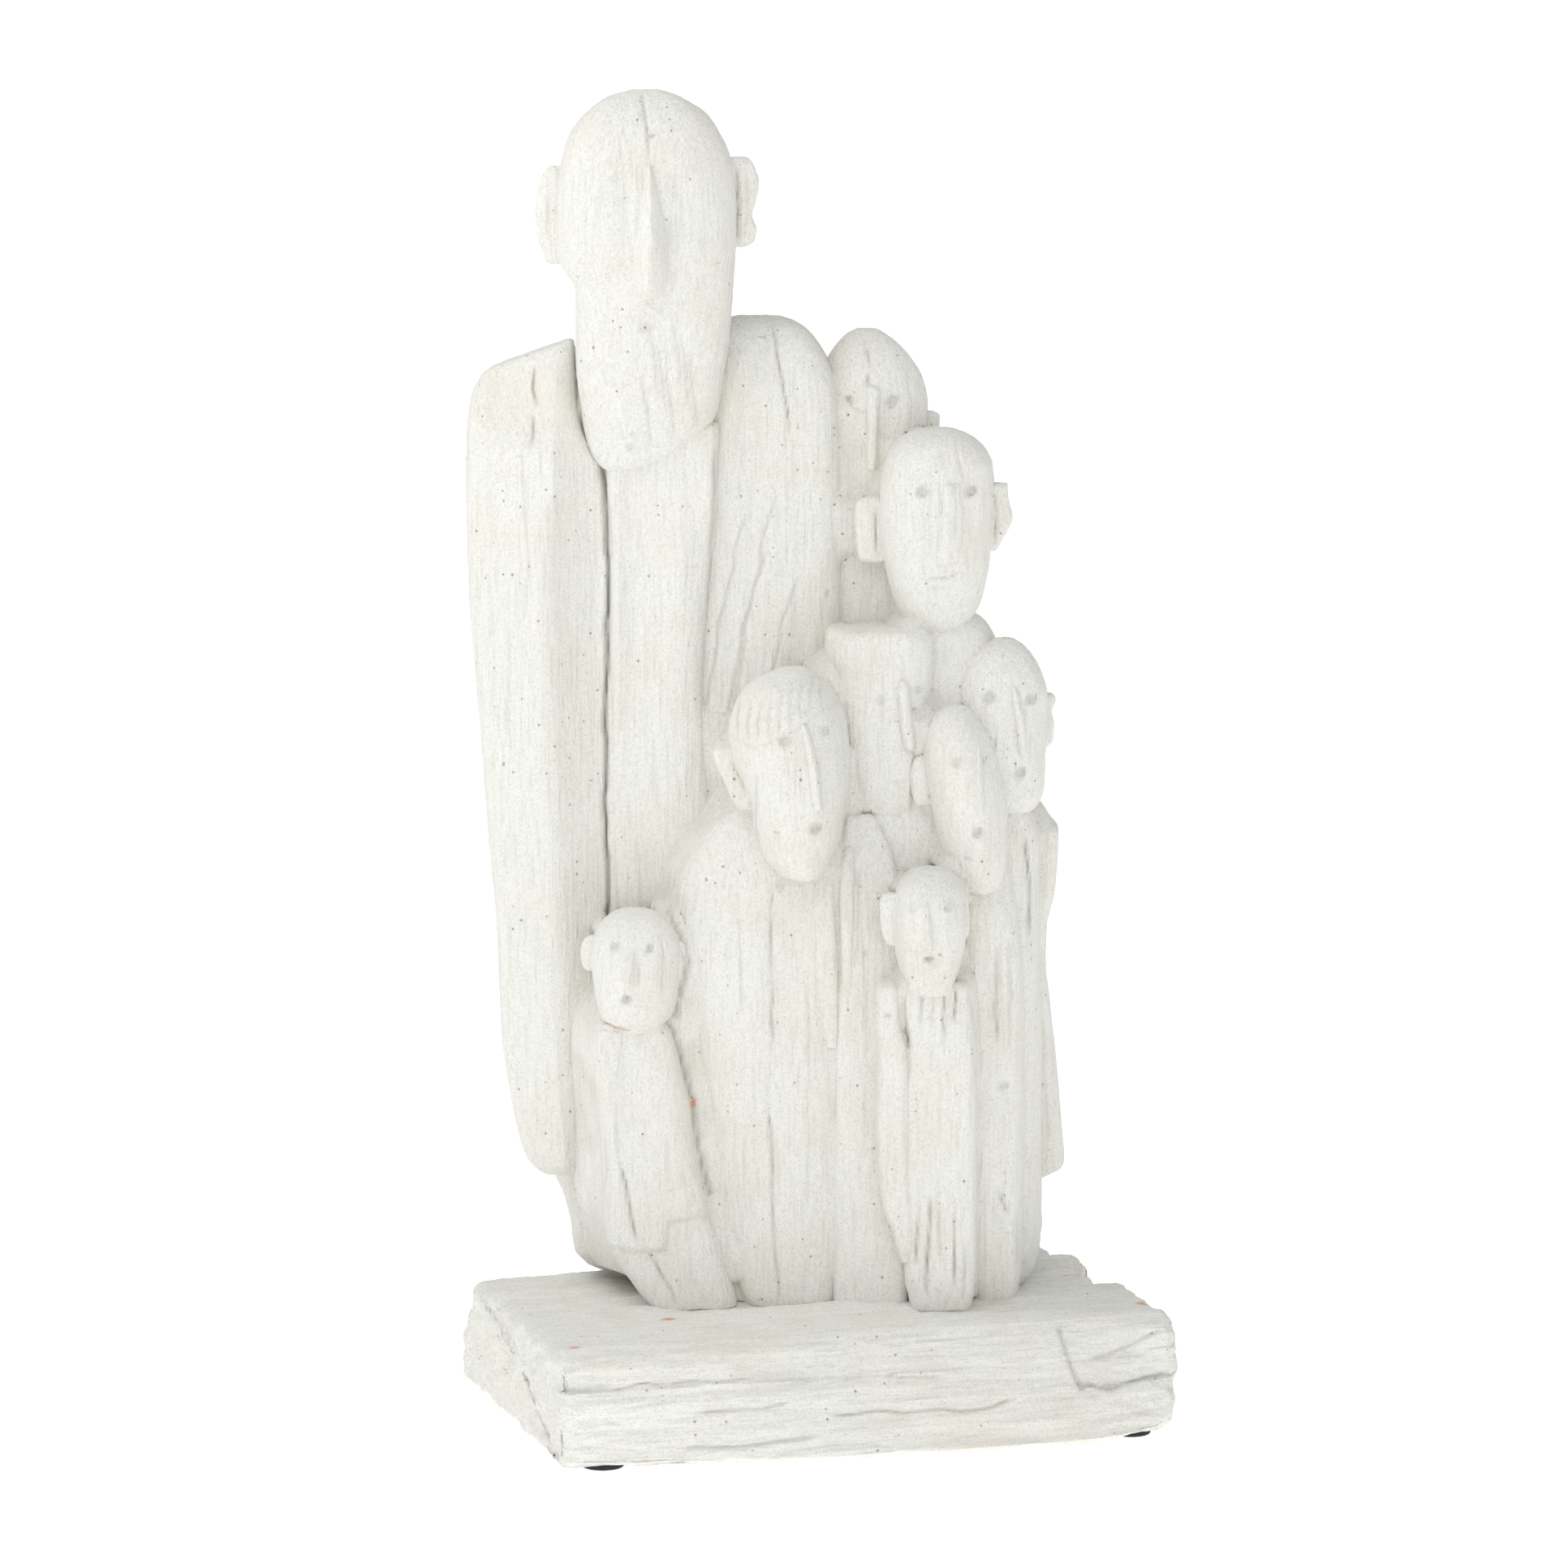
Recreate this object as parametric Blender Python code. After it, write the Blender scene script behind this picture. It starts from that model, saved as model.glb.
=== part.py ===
"""Figure group statuette: nine figures of weathered split boards on a thick worn plinth.

The long side of the plinth faces -Y, and the group on it is turned a little towards -X. The origin
is on the ground under the middle of the plinth. The group is one casting, so its boards, heads,
ears and noses are joined into one solid. It rests on the plinth, and the plinth on four pads.
"""

import math

import bmesh
import bpy
from mathutils import Vector

# Driving dimensions, in metres and degrees
GROUP_HEIGHT = 0.3645
GROUP_TURN = -16.74
GROUP_PLACE = (0.0025, 0.005)
PLINTH_LENGTH = 0.191
PLINTH_DEPTH = 0.131
PLINTH_THICKNESS = 0.0334
PLINTH_FRONT_BATTER = 0.011
PLINTH_BACK_BATTER = 0.009
PLINTH_TOP_WEAR = 0.006
PLINTH_FOOT_CHAMFER = 0.002
PLINTH_BOW = 0.007
PAD_DIAMETER = 0.0125
PAD_HEIGHT = 0.002
PAD_EDGE_DISTANCE = 0.0095
PAD_END_DISTANCE = 0.0175
JOINT_GAP = 0.0003

PLINTH_UNDERSIDE = PAD_HEIGHT + JOINT_GAP
PLINTH_TOP = PLINTH_UNDERSIDE + PLINTH_THICKNESS
GROUP_FOOT = PLINTH_TOP + JOINT_GAP

# The group's free forms are measured in shares, 364.5 of them to its height
SHARE = GROUP_HEIGHT / 364.5

# A sloping end fades out over this many shares below a top or above a foot
TOP_SLOPE_REACH = 30.0
FOOT_SLOPE_REACH = 15.0

# Ridges of split wood round a board: how far the wave moves on from side to side and with height
RIDGE_STEP = 2.4
RIDGE_DRIFT = 0.02

# A cutter starts this far in front of the face it cuts, and widens to this many times the crack
CUTTER_PROUD = 5.0
CUTTER_FLARE = 3.0

# Both ends of a crack are this share of its width
CRACK_END = 0.4


def clear_scene():
    for item in list(bpy.data.objects):
        bpy.data.objects.remove(item)


def new_collection(name):
    collection = bpy.data.collections.new(name)
    bpy.context.scene.collection.children.link(collection)
    return collection


def new_object(name, mesh, collection, parent=None):
    item = bpy.data.objects.new(name, mesh)
    collection.objects.link(item)
    item.parent = parent
    return item


def hide_helper(item):
    item.hide_render = True
    item.display_type = "WIRE"


def new_material(name, colour, roughness):
    material = bpy.data.materials.new(name)
    material.use_nodes = True
    shader = material.node_tree.nodes["Principled BSDF"]
    shader.inputs["Base Color"].default_value = (*colour, 1.0)
    shader.inputs["Roughness"].default_value = roughness
    shader.inputs["Metallic"].default_value = 0.0
    material.diffuse_color = (*colour, 1.0)
    return material


def loft_mesh(name, rings):
    """A closed skin over rings of equally many points"""
    shape = bmesh.new()
    loops = [[shape.verts.new(point) for point in ring] for ring in rings]
    for lower, upper in zip(loops, loops[1:]):
        for index in range(len(lower)):
            after = (index + 1) % len(lower)
            shape.faces.new((lower[index], lower[after], upper[after], upper[index]))
    shape.faces.new(list(reversed(loops[0])))
    shape.faces.new(loops[-1])
    bmesh.ops.recalc_face_normals(shape, faces=shape.faces)
    mesh = bpy.data.meshes.new(name)
    shape.to_mesh(mesh)
    shape.free()
    return mesh


class Board:
    """An upright piece of split log, through stations of height, left, right, front and back

    All five are in shares. Left and right run across the group, and front and back run away from
    the viewer. Squareness 2 gives a round section, 4 or more a plank, and under 2 a ridged sliver.
    """

    def __init__(self, name, stations, squareness=2.6, sides=16, ridges=0.5, turn=0.0,
                 top_slope=0.0, foot_slope=0.0):
        self.name = name
        self.rings = stations
        self.squareness = squareness
        self.sides = sides
        self.ridges = ridges
        self.turn = math.radians(turn)
        self.top_slope = top_slope
        self.foot_slope = foot_slope

    def ring_points(self, ring):
        height, left, right, front, back = ring
        half_width = (right - left) / 2
        half_depth = (back - front) / 2
        power = 2 / self.squareness
        points = []
        for index in range(self.sides):
            angle = math.tau * index / self.sides
            across = half_width * math.copysign(abs(math.cos(angle)) ** power, math.cos(angle))
            away = half_depth * math.copysign(abs(math.sin(angle)) ** power, math.sin(angle))
            wave = RIDGE_STEP * index + RIDGE_DRIFT * height + 0.1 * self.sides
            swell = 1 + self.ridges * math.sin(wave) / max(half_width, half_depth, 4.0)
            turned_across = across * math.cos(self.turn) - away * math.sin(self.turn)
            turned_away = across * math.sin(self.turn) + away * math.cos(self.turn)
            near_top = max(0.0, 1 - (self.rings[-1][0] - height) / TOP_SLOPE_REACH)
            near_foot = max(0.0, 1 - (height - self.rings[0][0]) / FOOT_SLOPE_REACH)
            slope = self.top_slope * near_top + self.foot_slope * near_foot
            points.append(Vector((
                (left + right) / 2 + turned_across * swell,
                (front + back) / 2 + turned_away * swell,
                height + slope * turned_across,
            )) * SHARE)
        return points

    def mesh(self):
        return loft_mesh(self.name, [self.ring_points(ring) for ring in self.rings])

    def front_at(self, across, height):
        """How far away the board's front is at a place on it, in shares"""
        for lower, upper in zip(self.rings, self.rings[1:]):
            if lower[0] <= height <= upper[0]:
                share = (height - lower[0]) / (upper[0] - lower[0])
                ring = [a + (b - a) * share for a, b in zip(lower, upper)]
                break
        else:
            ring = self.rings[-1]
        _, left, right, front, back = ring
        side = min(1.0, abs(across - (left + right) / 2) / ((right - left) / 2))
        bulge = (1 - side ** self.squareness) ** (1 / self.squareness)
        return (front + back) / 2 - bulge * (back - front) / 2


class Carving:
    """The boards that are joined into the group, and the cuts made in them"""

    def __init__(self, frame, boards, cuts):
        self.frame = frame
        self.boards = boards
        self.cuts = cuts

    def add(self, board):
        hide_helper(new_object(board.name, board.mesh(), self.boards, self.frame))
        return board

    def nose(self, name, face, stations):
        """A sliver set in the face, through stations of height, left, right and how proud it is"""
        root = 8.0
        rings = []
        for height, left, right, proud in stations:
            front = face.front_at((left + right) / 2, height)
            rings.append((height, left, right, front - proud, front + root))
        self.add(Board(name, rings, squareness=1.7, sides=8, ridges=0.0))

    def ear(self, name, low, high, left, right, away, thickness=5.0):
        """A thin flat slab, set on the side of a head"""
        inset = (right - left) * 0.2
        front = away - thickness / 2
        back = away + thickness / 2
        bevel = 0.8
        tall = high - low
        self.add(Board(name, (
            (low, left + inset, right - inset, front + bevel, back - bevel),
            (low + tall * 0.2, left + inset / 3, right - inset / 3, front, back),
            (high - tall * 0.15, left, right, front, back),
            (high, left + inset, right - inset, front + bevel, back - bevel),
        ), squareness=3.0, sides=8, ridges=0.2))

    def hole(self, name, face, across, height, radius, depth):
        """A round hole drilled straight into a face"""
        front = face.front_at(across, height)
        bpy.ops.mesh.primitive_cylinder_add(
            vertices=8,
            radius=radius * SHARE,
            depth=(CUTTER_PROUD + depth) * SHARE,
            rotation=(math.pi / 2, 0.0, 0.0),
            location=Vector((across, front + (depth - CUTTER_PROUD) / 2, height)) * SHARE,
        )
        drill = bpy.context.object
        drill.name = name
        for collection in list(drill.users_collection):
            collection.objects.unlink(drill)
        self.cuts.objects.link(drill)
        drill.parent = self.frame
        hide_helper(drill)

    def split(self, name, face, points, width, depth):
        """A crack down a face, open in the middle and closing at both ends"""
        rings = []
        for index, (across, height) in enumerate(points):
            opening = CRACK_END if index in (0, len(points) - 1) else 1.0
            half = width / 2 * opening
            front = face.front_at(across, height)
            rings.append([
                Vector((across - half * CUTTER_FLARE, front - CUTTER_PROUD, height)) * SHARE,
                Vector((across + half * CUTTER_FLARE, front - CUTTER_PROUD, height)) * SHARE,
                Vector((across + half, front, height)) * SHARE,
                Vector((across, front + depth * opening, height)) * SHARE,
                Vector((across - half, front, height)) * SHARE,
            ])
        hide_helper(new_object(name, loft_mesh(name, rings), self.cuts, self.frame))


def tall_figure(carving):
    """The tall figure at the back left: a long head between two shoulder boards"""
    carving.add(Board("tall_outer_board", (
        (33.5, -86, -74, 15, 29),
        (38, -91, -70, 11, 33),
        (60, -96, -70, 8, 35),
        (110, -99.6, -74, 6, 36),
        (165, -103.6, -79, 5, 37),
        (225, -107.4, -80, 4, 37),
        (262, -107.4, -80, 5, 36),
        (276, -105.2, -80, 7, 34),
        (282, -101, -82, 11, 30),
    ), squareness=3.6, sides=16, ridges=0.5, top_slope=0.30))
    carving.add(Board("tall_inner_board", (
        (33, -78, -68, 15, 28),
        (70, -83, -66, 11, 33),
        (150, -85, -65.8, 9, 34),
        (236, -86, -65.8, 8, 34),
        (260, -87, -72, 9, 33),
        (282, -87, -74.5, 11, 31),
        (289, -85, -76, 14, 28),
    ), squareness=3.6, sides=14, ridges=0.4, turn=8.0, top_slope=0.25))
    core = carving.add(Board("tall_middle_board", (
        (0, -65, -30, 24, 41),
        (6, -72, -28, 22, 42),
        (14, -77.6, -26, 19, 42),
        (38, -79, -26, 16, 42),
        (80, -78, -26, 12, 42),
        (122, -66, -28, 9, 42),
        (180, -63.5, -34, 7, 42),
        (236, -64, -33, 6, 42),
        (254, -63.5, -31.5, 7, 41),
        (260, -62, -33, 10, 38),
    ), squareness=4.0, sides=16, ridges=0.4, top_slope=0.06))
    shoulder = carving.add(Board("tall_right_board", (
        (0, -42, 4, 26, 44),
        (60, -42, 7, 18, 44),
        (140, -40, 7, 13, 43),
        (206, -39, 6.5, 10, 42),
        (255, -34.5, 6.5, 9, 41),
        (274, -31, 4.5, 9.5, 40),
        (287, -28.5, -0.5, 10.5, 38),
        (294, -27.5, -5.5, 12.5, 35),
        (296.6, -26, -9.5, 16, 32),
    ), squareness=3.8, sides=16, ridges=0.6))
    head = carving.add(Board("tall_head", (
        (252, -64, -55, -6, 14),
        (256.5, -69, -43, -10, 18),
        (265, -72.5, -33, -13, 20),
        (282, -73.8, -29.5, -15, 21),
        (305, -74.7, -27.2, -16.5, 22),
        (314, -78.8, -26.4, -17, 22.5),
        (331, -79.4, -26.1, -17, 23),
        (345, -78, -27.8, -16, 22),
        (355, -74.6, -31.2, -12.5, 19),
        (361.4, -67.5, -37.5, -6.5, 13),
        (364.5, -59.5, -44.5, -0.5, 7),
    ), squareness=2.5, sides=16, ridges=0.35))
    carving.ear("tall_ear_left", 312.5, 342, -86.8, -75, 3, 6.0)
    carving.ear("tall_ear_right", 317.5, 345.5, -30, -19.3, 3, 6.0)
    carving.nose("tall_nose", head, (
        (303.5, -53.6, -49.6, 1.5),
        (308, -55.4, -47, 5.5),
        (325, -54.6, -47.6, 4.6),
        (344, -52, -50.2, 0.6),
    ))
    carving.hole("tall_eye_left", head, -61, 339, 1.2, 1.2)
    carving.hole("tall_eye_right", head, -43, 339, 1.2, 1.2)
    carving.hole("tall_mouth", head, -52, 295, 1.2, 0.8)
    carving.split("tall_brow_crack", head, ((-53, 362), (-52, 353), (-51.5, 345)), 1.0, 2.0)
    carving.split("tall_core_fold", core, ((-36.5, 250), (-38, 228), (-39, 200)), 1.6, 1.6)
    carving.split("tall_shoulder_crack", shoulder, ((-12, 292), (-10, 270), (-9, 246)), 1.0, 1.4)
    carving.split("tall_shoulder_grain", shoulder, ((-16, 262), (-22, 225), (-26, 190)), 1.2, 1.4)


def back_figure(carving):
    """The figure behind the tall one's shoulder, mostly hidden"""
    carving.add(Board("back_body", (
        (0, -8, 44, 28, 52),
        (110, -8, 44, 26, 50),
        (200, -3, 38, 24, 47),
        (230, 3, 30, 26, 43),
        (238, 8, 24, 29, 40),
    ), squareness=3.4, sides=12, ridges=0.7))
    head = carving.add(Board("back_head", (
        (229, 9, 22, 23, 36),
        (238, 3.5, 27, 18, 40),
        (252, 0, 31, 15, 42),
        (268, -1.5, 32.3, 14, 43),
        (280, -0.5, 29.5, 16, 42),
        (288, 4.5, 23.5, 21, 38),
        (291.6, 10, 17.5, 27, 33),
    ), squareness=2.4, sides=14, ridges=0.4))
    carving.ear("back_ear_right", 257, 269, 29, 36.2, 28)
    carving.nose("back_nose", head, ((249.5, 13.2, 17.6, 3.0), (262, 13.4, 17.4, 3.0), (276, 14, 16.5, 1.2)))
    carving.hole("back_eye_left", head, 7.8, 271, 1.6, 1.6)
    carving.hole("back_eye_right", head, 21.2, 271, 1.6, 1.6)
    carving.hole("back_mouth", head, 15, 245, 1.3, 1.4)
    carving.split("back_brow_crack", head, ((14.6, 287), (14.8, 281), (14.8, 277)), 1.0, 1.6)


def eared_figure(carving):
    """The figure at the right behind the others, with two large ears"""
    carving.add(Board("eared_body", (
        (0, 16, 58, 12, 43),
        (110, 16, 56, 9, 41),
        (180, 17, 54, 6, 37),
        (198, 23, 52.5, 5, 33),
        (206, 30, 45, 8, 28),
    ), squareness=3.2, sides=12, ridges=0.6))
    head = carving.add(Board("eared_head", (
        (202, 31, 38.5, 2, 13),
        (205.5, 26, 44, -3, 17),
        (213, 22.3, 48.2, -6.5, 19.5),
        (228, 18.7, 51, -8.5, 21),
        (244, 17.2, 51.6, -9, 21.5),
        (254.5, 19, 50.2, -7.5, 20.5),
        (260.5, 24, 45.5, -3, 16.5),
        (263.4, 30, 40, 3, 10.5),
    ), squareness=2.5, sides=14, ridges=0.35))
    carving.ear("eared_ear_left", 223, 243, 9.8, 20, 8)
    carving.ear("eared_ear_right", 227, 247, 49, 57, 8)
    carving.nose("eared_nose_left", head, ((223.5, 34, 37.6, 2.4), (236, 34.8, 38.2, 2.6), (249, 36.4, 38.4, 1.0)))
    carving.nose("eared_nose_right", head, ((225, 38.2, 41.8, 2.6), (236, 38.6, 42, 2.6), (248, 39.4, 41.4, 1.0)))
    carving.hole("eared_eye_left", head, 29.6, 246, 1.5, 1.5)
    carving.hole("eared_eye_right", head, 44.6, 246, 1.5, 1.5)
    carving.split("eared_mouth", head, ((31, 220), (34, 218.6), (37.5, 217.6)), 0.9, 1.0)


def block_headed_figure(carving):
    """The figure with a short upright log for a head, cut off flat on top"""
    carving.add(Board("block_body", (
        (0, 4, 42, 2, 30),
        (60, 5, 40, -1, 28),
        (118, 7, 34, -4, 23),
        (140, 10, 29, -5, 17),
        (149, 14, 25, -3, 9),
    ), squareness=3.2, sides=12, ridges=0.6))
    head = carving.add(Board("block_head", (
        (144.5, 15.5, 24, -3, 5),
        (148, 11.5, 27.3, -7.5, 8.5),
        (159, 8, 30.3, -10, 11),
        (180, 3.6, 32, -11.5, 12.5),
        (195, 1.1, 33.3, -12, 13),
        (201, 1.3, 33.1, -11.5, 12.5),
        (203.4, 3.5, 30.5, -9, 10),
    ), squareness=2.9, sides=14, ridges=0.5))
    carving.nose("block_nose", head, ((168, 24.2, 29, 3.4), (180, 23.8, 28.4, 3.4), (190, 23.4, 27, 1.6)))
    carving.hole("block_eye_left", head, 16.5, 184, 1.3, 1.4)
    carving.hole("block_eye_right", head, 30.2, 187, 1.2, 1.4)


def far_right_figure(carving):
    """The figure at the right end: a round head on a deep board with a broken outer flange"""
    body = carving.add(Board("far_right_body", (
        (0, 47, 64, 12, 46),
        (13, 46, 67.5, 8, 49),
        (32, 45, 68.3, 6, 50),
        (70, 44, 67.5, 4, 48),
        (115, 44, 66.5, 2, 45),
        (140, 45, 66, 0, 34),
        (149, 50, 61, 3, 22),
    ), squareness=3.0, sides=14, ridges=0.6))
    carving.add(Board("far_right_flange", (
        (32.5, 65, 75, 20, 41),
        (37, 64, 76, 17, 43),
        (62, 63, 74.2, 15, 44),
        (95, 62.5, 69.3, 13, 43),
        (124, 62.5, 71.5, 12, 41),
        (138, 62, 73.4, 12, 38),
        (147, 63, 67.5, 16, 31),
    ), squareness=3.6, sides=12, ridges=0.3))
    head = carving.add(Board("far_right_head", (
        (146.5, 51, 62, -2, 10),
        (151, 45, 66.3, -6.5, 13.5),
        (163, 41.5, 67.4, -8.5, 15.5),
        (181, 40.2, 68.2, -9, 16),
        (192, 42.8, 65.7, -6.5, 14),
        (198, 48.5, 60.5, -1.5, 9),
        (200.4, 52.3, 57.2, 2, 5.5),
    ), squareness=2.3, sides=14, ridges=0.35))
    carving.ear("far_right_ear", 167, 183, 64, 70.4, 5)
    carving.nose("far_right_nose", head, ((165, 58.4, 61.4, 2.6), (175, 57.4, 61.2, 2.6), (186, 56.4, 58.6, 1.0)))
    carving.hole("far_right_eye_left", head, 50, 183, 1.6, 1.6)
    carving.hole("far_right_eye_right", head, 62.8, 183, 1.5, 1.6)
    carving.hole("far_right_mouth", head, 59.2, 161, 1.6, 1.8)
    carving.split("far_right_slot", body, ((62, 145), (62.5, 130), (63, 112)), 1.5, 3.0)
    carving.hole("far_right_knot", body, 55, 66, 2.4, 1.4)


def long_faced_figure(carving):
    """The figure in front of the right end, with a long face turned to the right"""
    carving.add(Board("long_faced_body", (
        (0, 45, 60.5, 2, 24),
        (8, 43, 62, 0, 25),
        (60, 41, 61.5, -6, 22),
        (100, 40, 61, -9, 18),
        (118, 41, 57, -10, 12),
        (128, 43, 53, -8, 6),
    ), squareness=3.0, sides=14, ridges=0.6))
    head = carving.add(Board("long_faced_head", (
        (123.3, 44, 49.3, -15, -6),
        (127, 40, 51.8, -18.5, -2),
        (136, 36, 54.8, -21.5, 1),
        (148, 32.3, 55.6, -23, 3),
        (160, 30, 54, -23, 3.5),
        (170, 29.4, 51, -21.5, 2.5),
        (177, 31.8, 48, -18, -1),
        (181, 37, 44, -13, -6),
    ), squareness=2.3, sides=14, ridges=0.35, turn=6.0))
    carving.ear("long_faced_ear", 151, 166, 26, 34, -9)
    carving.nose("long_faced_nose", head, ((148, 45.6, 49.4, 2.6), (158, 45.4, 49.2, 2.6), (169, 46, 48, 0.8)))
    carving.hole("long_faced_eye_left", head, 40, 166, 1.5, 1.6)
    carving.hole("long_faced_eye_right", head, 49.2, 167, 1.2, 1.4)
    carving.hole("long_faced_mouth", head, 46.2, 144, 1.8, 2.0)


def capped_figure(carving):
    """The figure in the middle of the front row, with combed hair or a cap over its brow"""
    body = carving.add(Board("capped_body", (
        (0, -26, 6, -20, 12),
        (8, -28, 6.3, -21.5, 14),
        (40, -34, 7.2, -22, 15),
        (80, -40, 8, -21, 15),
        (112, -44, 8.5, -19, 13),
        (127, -43.5, 8.8, -16.5, 10),
        (138, -38.5, 8.8, -13.5, 6),
        (147, -30, 7, -11, 1),
        (153, -22, 4, -10, -2),
    ), squareness=3.0, sides=16, ridges=0.7))
    carving.add(Board("capped_side_board", (
        (0, 7.2, 23.5, -18, 2),
        (30, 7.8, 19.5, -18.5, 4),
        (80, 9, 18.3, -17.5, 5),
        (120, 9.8, 18.6, -15.5, 4),
        (136, 9.6, 17, -12.5, 2),
        (148, 9, 12.5, -9, -1),
    ), squareness=3.4, sides=12, ridges=0.3))
    carving.add(Board("capped_collar", (
        (72, 0.5, 6, -20, -12),
        (80, -1, 7.3, -23.5, -10),
        (104, -0.8, 7.7, -23, -10),
        (124, 0.5, 8, -20.5, -9),
        (134, 2.5, 8, -17.5, -8),
    ), squareness=2.6, sides=10, ridges=0.2))
    head = carving.add(Board("capped_head", (
        (130, -9.5, -2, -27, -13),
        (133.5, -15, 1.8, -30.5, -8),
        (141, -19.3, 5, -33, -4.5),
        (152, -21.5, 7.3, -34.5, -2),
        (163, -26, 8.3, -35, 0),
        (173, -28.3, 7.8, -34.5, 1),
        (183, -25.7, 5, -32, 0),
        (190, -20, -0.5, -27, -5),
        (193.5, -13, -5.5, -21, -11),
    ), squareness=2.3, sides=14, ridges=0.35))
    carving.add(Board("cap", (
        (179, -28, 6.8, -33.8, 1),
        (181, -28, 6.9, -34.2, 1.5),
        (186, -25.3, 4.6, -31.8, 0.2),
        (191, -19.6, 0.4, -27, -4.5),
        (194.2, -13, -4.8, -21, -10),
    ), squareness=2.3, sides=14, ridges=0.5, top_slope=0.1, foot_slope=0.45))
    carving.ear("capped_ear", 152, 170, -34, -22, -13)
    carving.nose("capped_nose", head, ((152, -3.6, -0.4, 2.6), (165, -4.6, -1.4, 2.8), (179, -5.6, -3.4, 1.0)))
    carving.hole("capped_eye_left", head, -11, 174, 1.6, 1.6)
    carving.hole("capped_eye_right", head, 2, 177, 1.3, 1.6)
    carving.hole("capped_mouth", head, -2.3, 147, 1.7, 1.8)
    carving.split("capped_groove_left", body, ((-16, 137), (-15.5, 90), (-15, 45), (-14.5, 3)), 1.0, 1.8)


def left_child(carving):
    """The small figure at the left end of the front row"""
    carving.add(Board("left_child_body", (
        (20, -63, -31.5, -22, -4),
        (23, -65, -31, -25, -2),
        (42, -66.5, -36.5, -23, 0),
        (64, -68.5, -40.3, -21, 0),
        (77, -68.7, -43, -19.5, -1),
        (84, -65, -47, -16, -5),
    ), squareness=3.0, sides=14, ridges=0.6))
    carving.add(Board("left_child_left_leg", (
        (0, -53.5, -42, -23, -8),
        (9, -59.5, -43.5, -23.5, -6),
        (18, -63, -45, -23, -5),
        (30, -63, -47, -19, -5),
    ), squareness=3.4, sides=12, ridges=0.4))
    carving.add(Board("left_child_right_leg", (
        (0, -41, -26.3, -24.5, -9),
        (9, -42.5, -28.2, -25, -7),
        (19, -44, -30.5, -24, -6),
        (30, -46, -35, -20, -6),
    ), squareness=3.4, sides=12, ridges=0.4))
    head = carving.add(Board("left_child_head", (
        (82.3, -61, -51, -20, -9),
        (85, -65.3, -47.3, -23, -5.5),
        (92, -68.3, -43.8, -26, -3),
        (102, -69.2, -42.8, -27, -2),
        (110.5, -68.3, -43.3, -26, -3),
        (116.5, -64.5, -46.5, -23, -6),
        (119.8, -58.5, -52, -18, -11),
    ), squareness=2.6, sides=14, ridges=0.3))
    carving.ear("left_child_ear_left", 103, 113, -73, -66, -13, 4.0)
    carving.ear("left_child_ear_right", 98, 112, -46, -39.3, -13, 4.0)
    carving.nose("left_child_nose", head, ((98.5, -58.6, -56, 1.6), (104, -58.2, -55.8, 1.4), (110, -56.8, -55.4, 0.5)))
    carving.hole("left_child_eye_left", head, -62, 110, 1.3, 1.4)
    carving.hole("left_child_eye_right", head, -53, 110, 1.4, 1.4)
    carving.hole("left_child_mouth", head, -58.8, 94.8, 1.5, 1.6)


def right_child(carving):
    """The small figure at the right of the front row: a square post with one arm board"""
    body = carving.add(Board("right_child_body", (
        (0, 27, 45, -25, -8),
        (12, 24.5, 46, -27, -6),
        (32, 23.5, 46.2, -28.5, -5),
        (60, 23.2, 46.2, -29.5, -5),
        (86, 23.2, 45.3, -30, -6),
        (97, 23.4, 44.8, -30, -8),
        (99.4, 24.5, 43.5, -28.5, -10),
    ), squareness=4.2, sides=14, ridges=0.5))
    carving.add(Board("right_child_arm", (
        (14, 23, 26.5, -25, -8),
        (30, 18.4, 24, -28.5, -6),
        (46, 16.8, 22.6, -30, -5),
        (70, 16.4, 22.4, -31, -5),
        (88, 16.1, 22.4, -32, -6),
        (97.5, 16.2, 22.6, -31.5, -8),
        (99.8, 17.2, 22, -29.5, -10),
    ), squareness=4.0, sides=12, ridges=0.3))
    head = carving.add(Board("right_child_head", (
        (97, 27, 38.5, -31, -18),
        (103, 24.6, 40.3, -34, -16),
        (111, 22, 42.8, -36, -14),
        (120, 20.7, 43.9, -36.5, -13.5),
        (127.5, 22, 42.2, -34, -15.5),
        (132.3, 26.6, 38.3, -29.5, -19.5),
        (134.6, 30, 35.2, -26.5, -22.5),
    ), squareness=2.4, sides=14, ridges=0.3))
    carving.ear("right_child_ear_left", 112, 128, 17.4, 24, -25, 4.0)
    carving.ear("right_child_ear_right", 113, 126, 41, 45.4, -23, 4.0)
    carving.nose("right_child_nose", head, ((111, 30.8, 34, 2.2), (117, 30.8, 33.8, 2.2), (124, 31.4, 33.2, 0.8)))
    carving.hole("right_child_eye_left", head, 26, 123, 1.2, 1.4)
    carving.hole("right_child_eye_right", head, 37, 123.3, 1.2, 1.4)
    carving.hole("right_child_mouth", head, 32.2, 107.5, 1.4, 1.2)
    carving.split("right_child_shoulder_notch", body, ((40.5, 99), (41.2, 92), (41.5, 84)), 2.0, 2.2)
    carving.split("right_child_leg_split", body, ((36, 40), (35, 20), (34, 2)), 1.2, 1.8)


def island_of(face):
    """All the faces that hang together with this one"""
    found = {face}
    queue = [face]
    while queue:
        for edge in queue.pop().edges:
            for neighbour in edge.link_faces:
                if neighbour not in found:
                    found.add(neighbour)
                    queue.append(neighbour)
    return found


def signed_volume(faces):
    """Positive for a body whose faces point out, negative for a pocket inside one"""
    total = 0.0
    for face in faces:
        first = face.verts[0].co
        for second, third in zip(face.verts[1:], face.verts[2:]):
            total += first.dot(second.co.cross(third.co)) / 6
    return total


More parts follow.
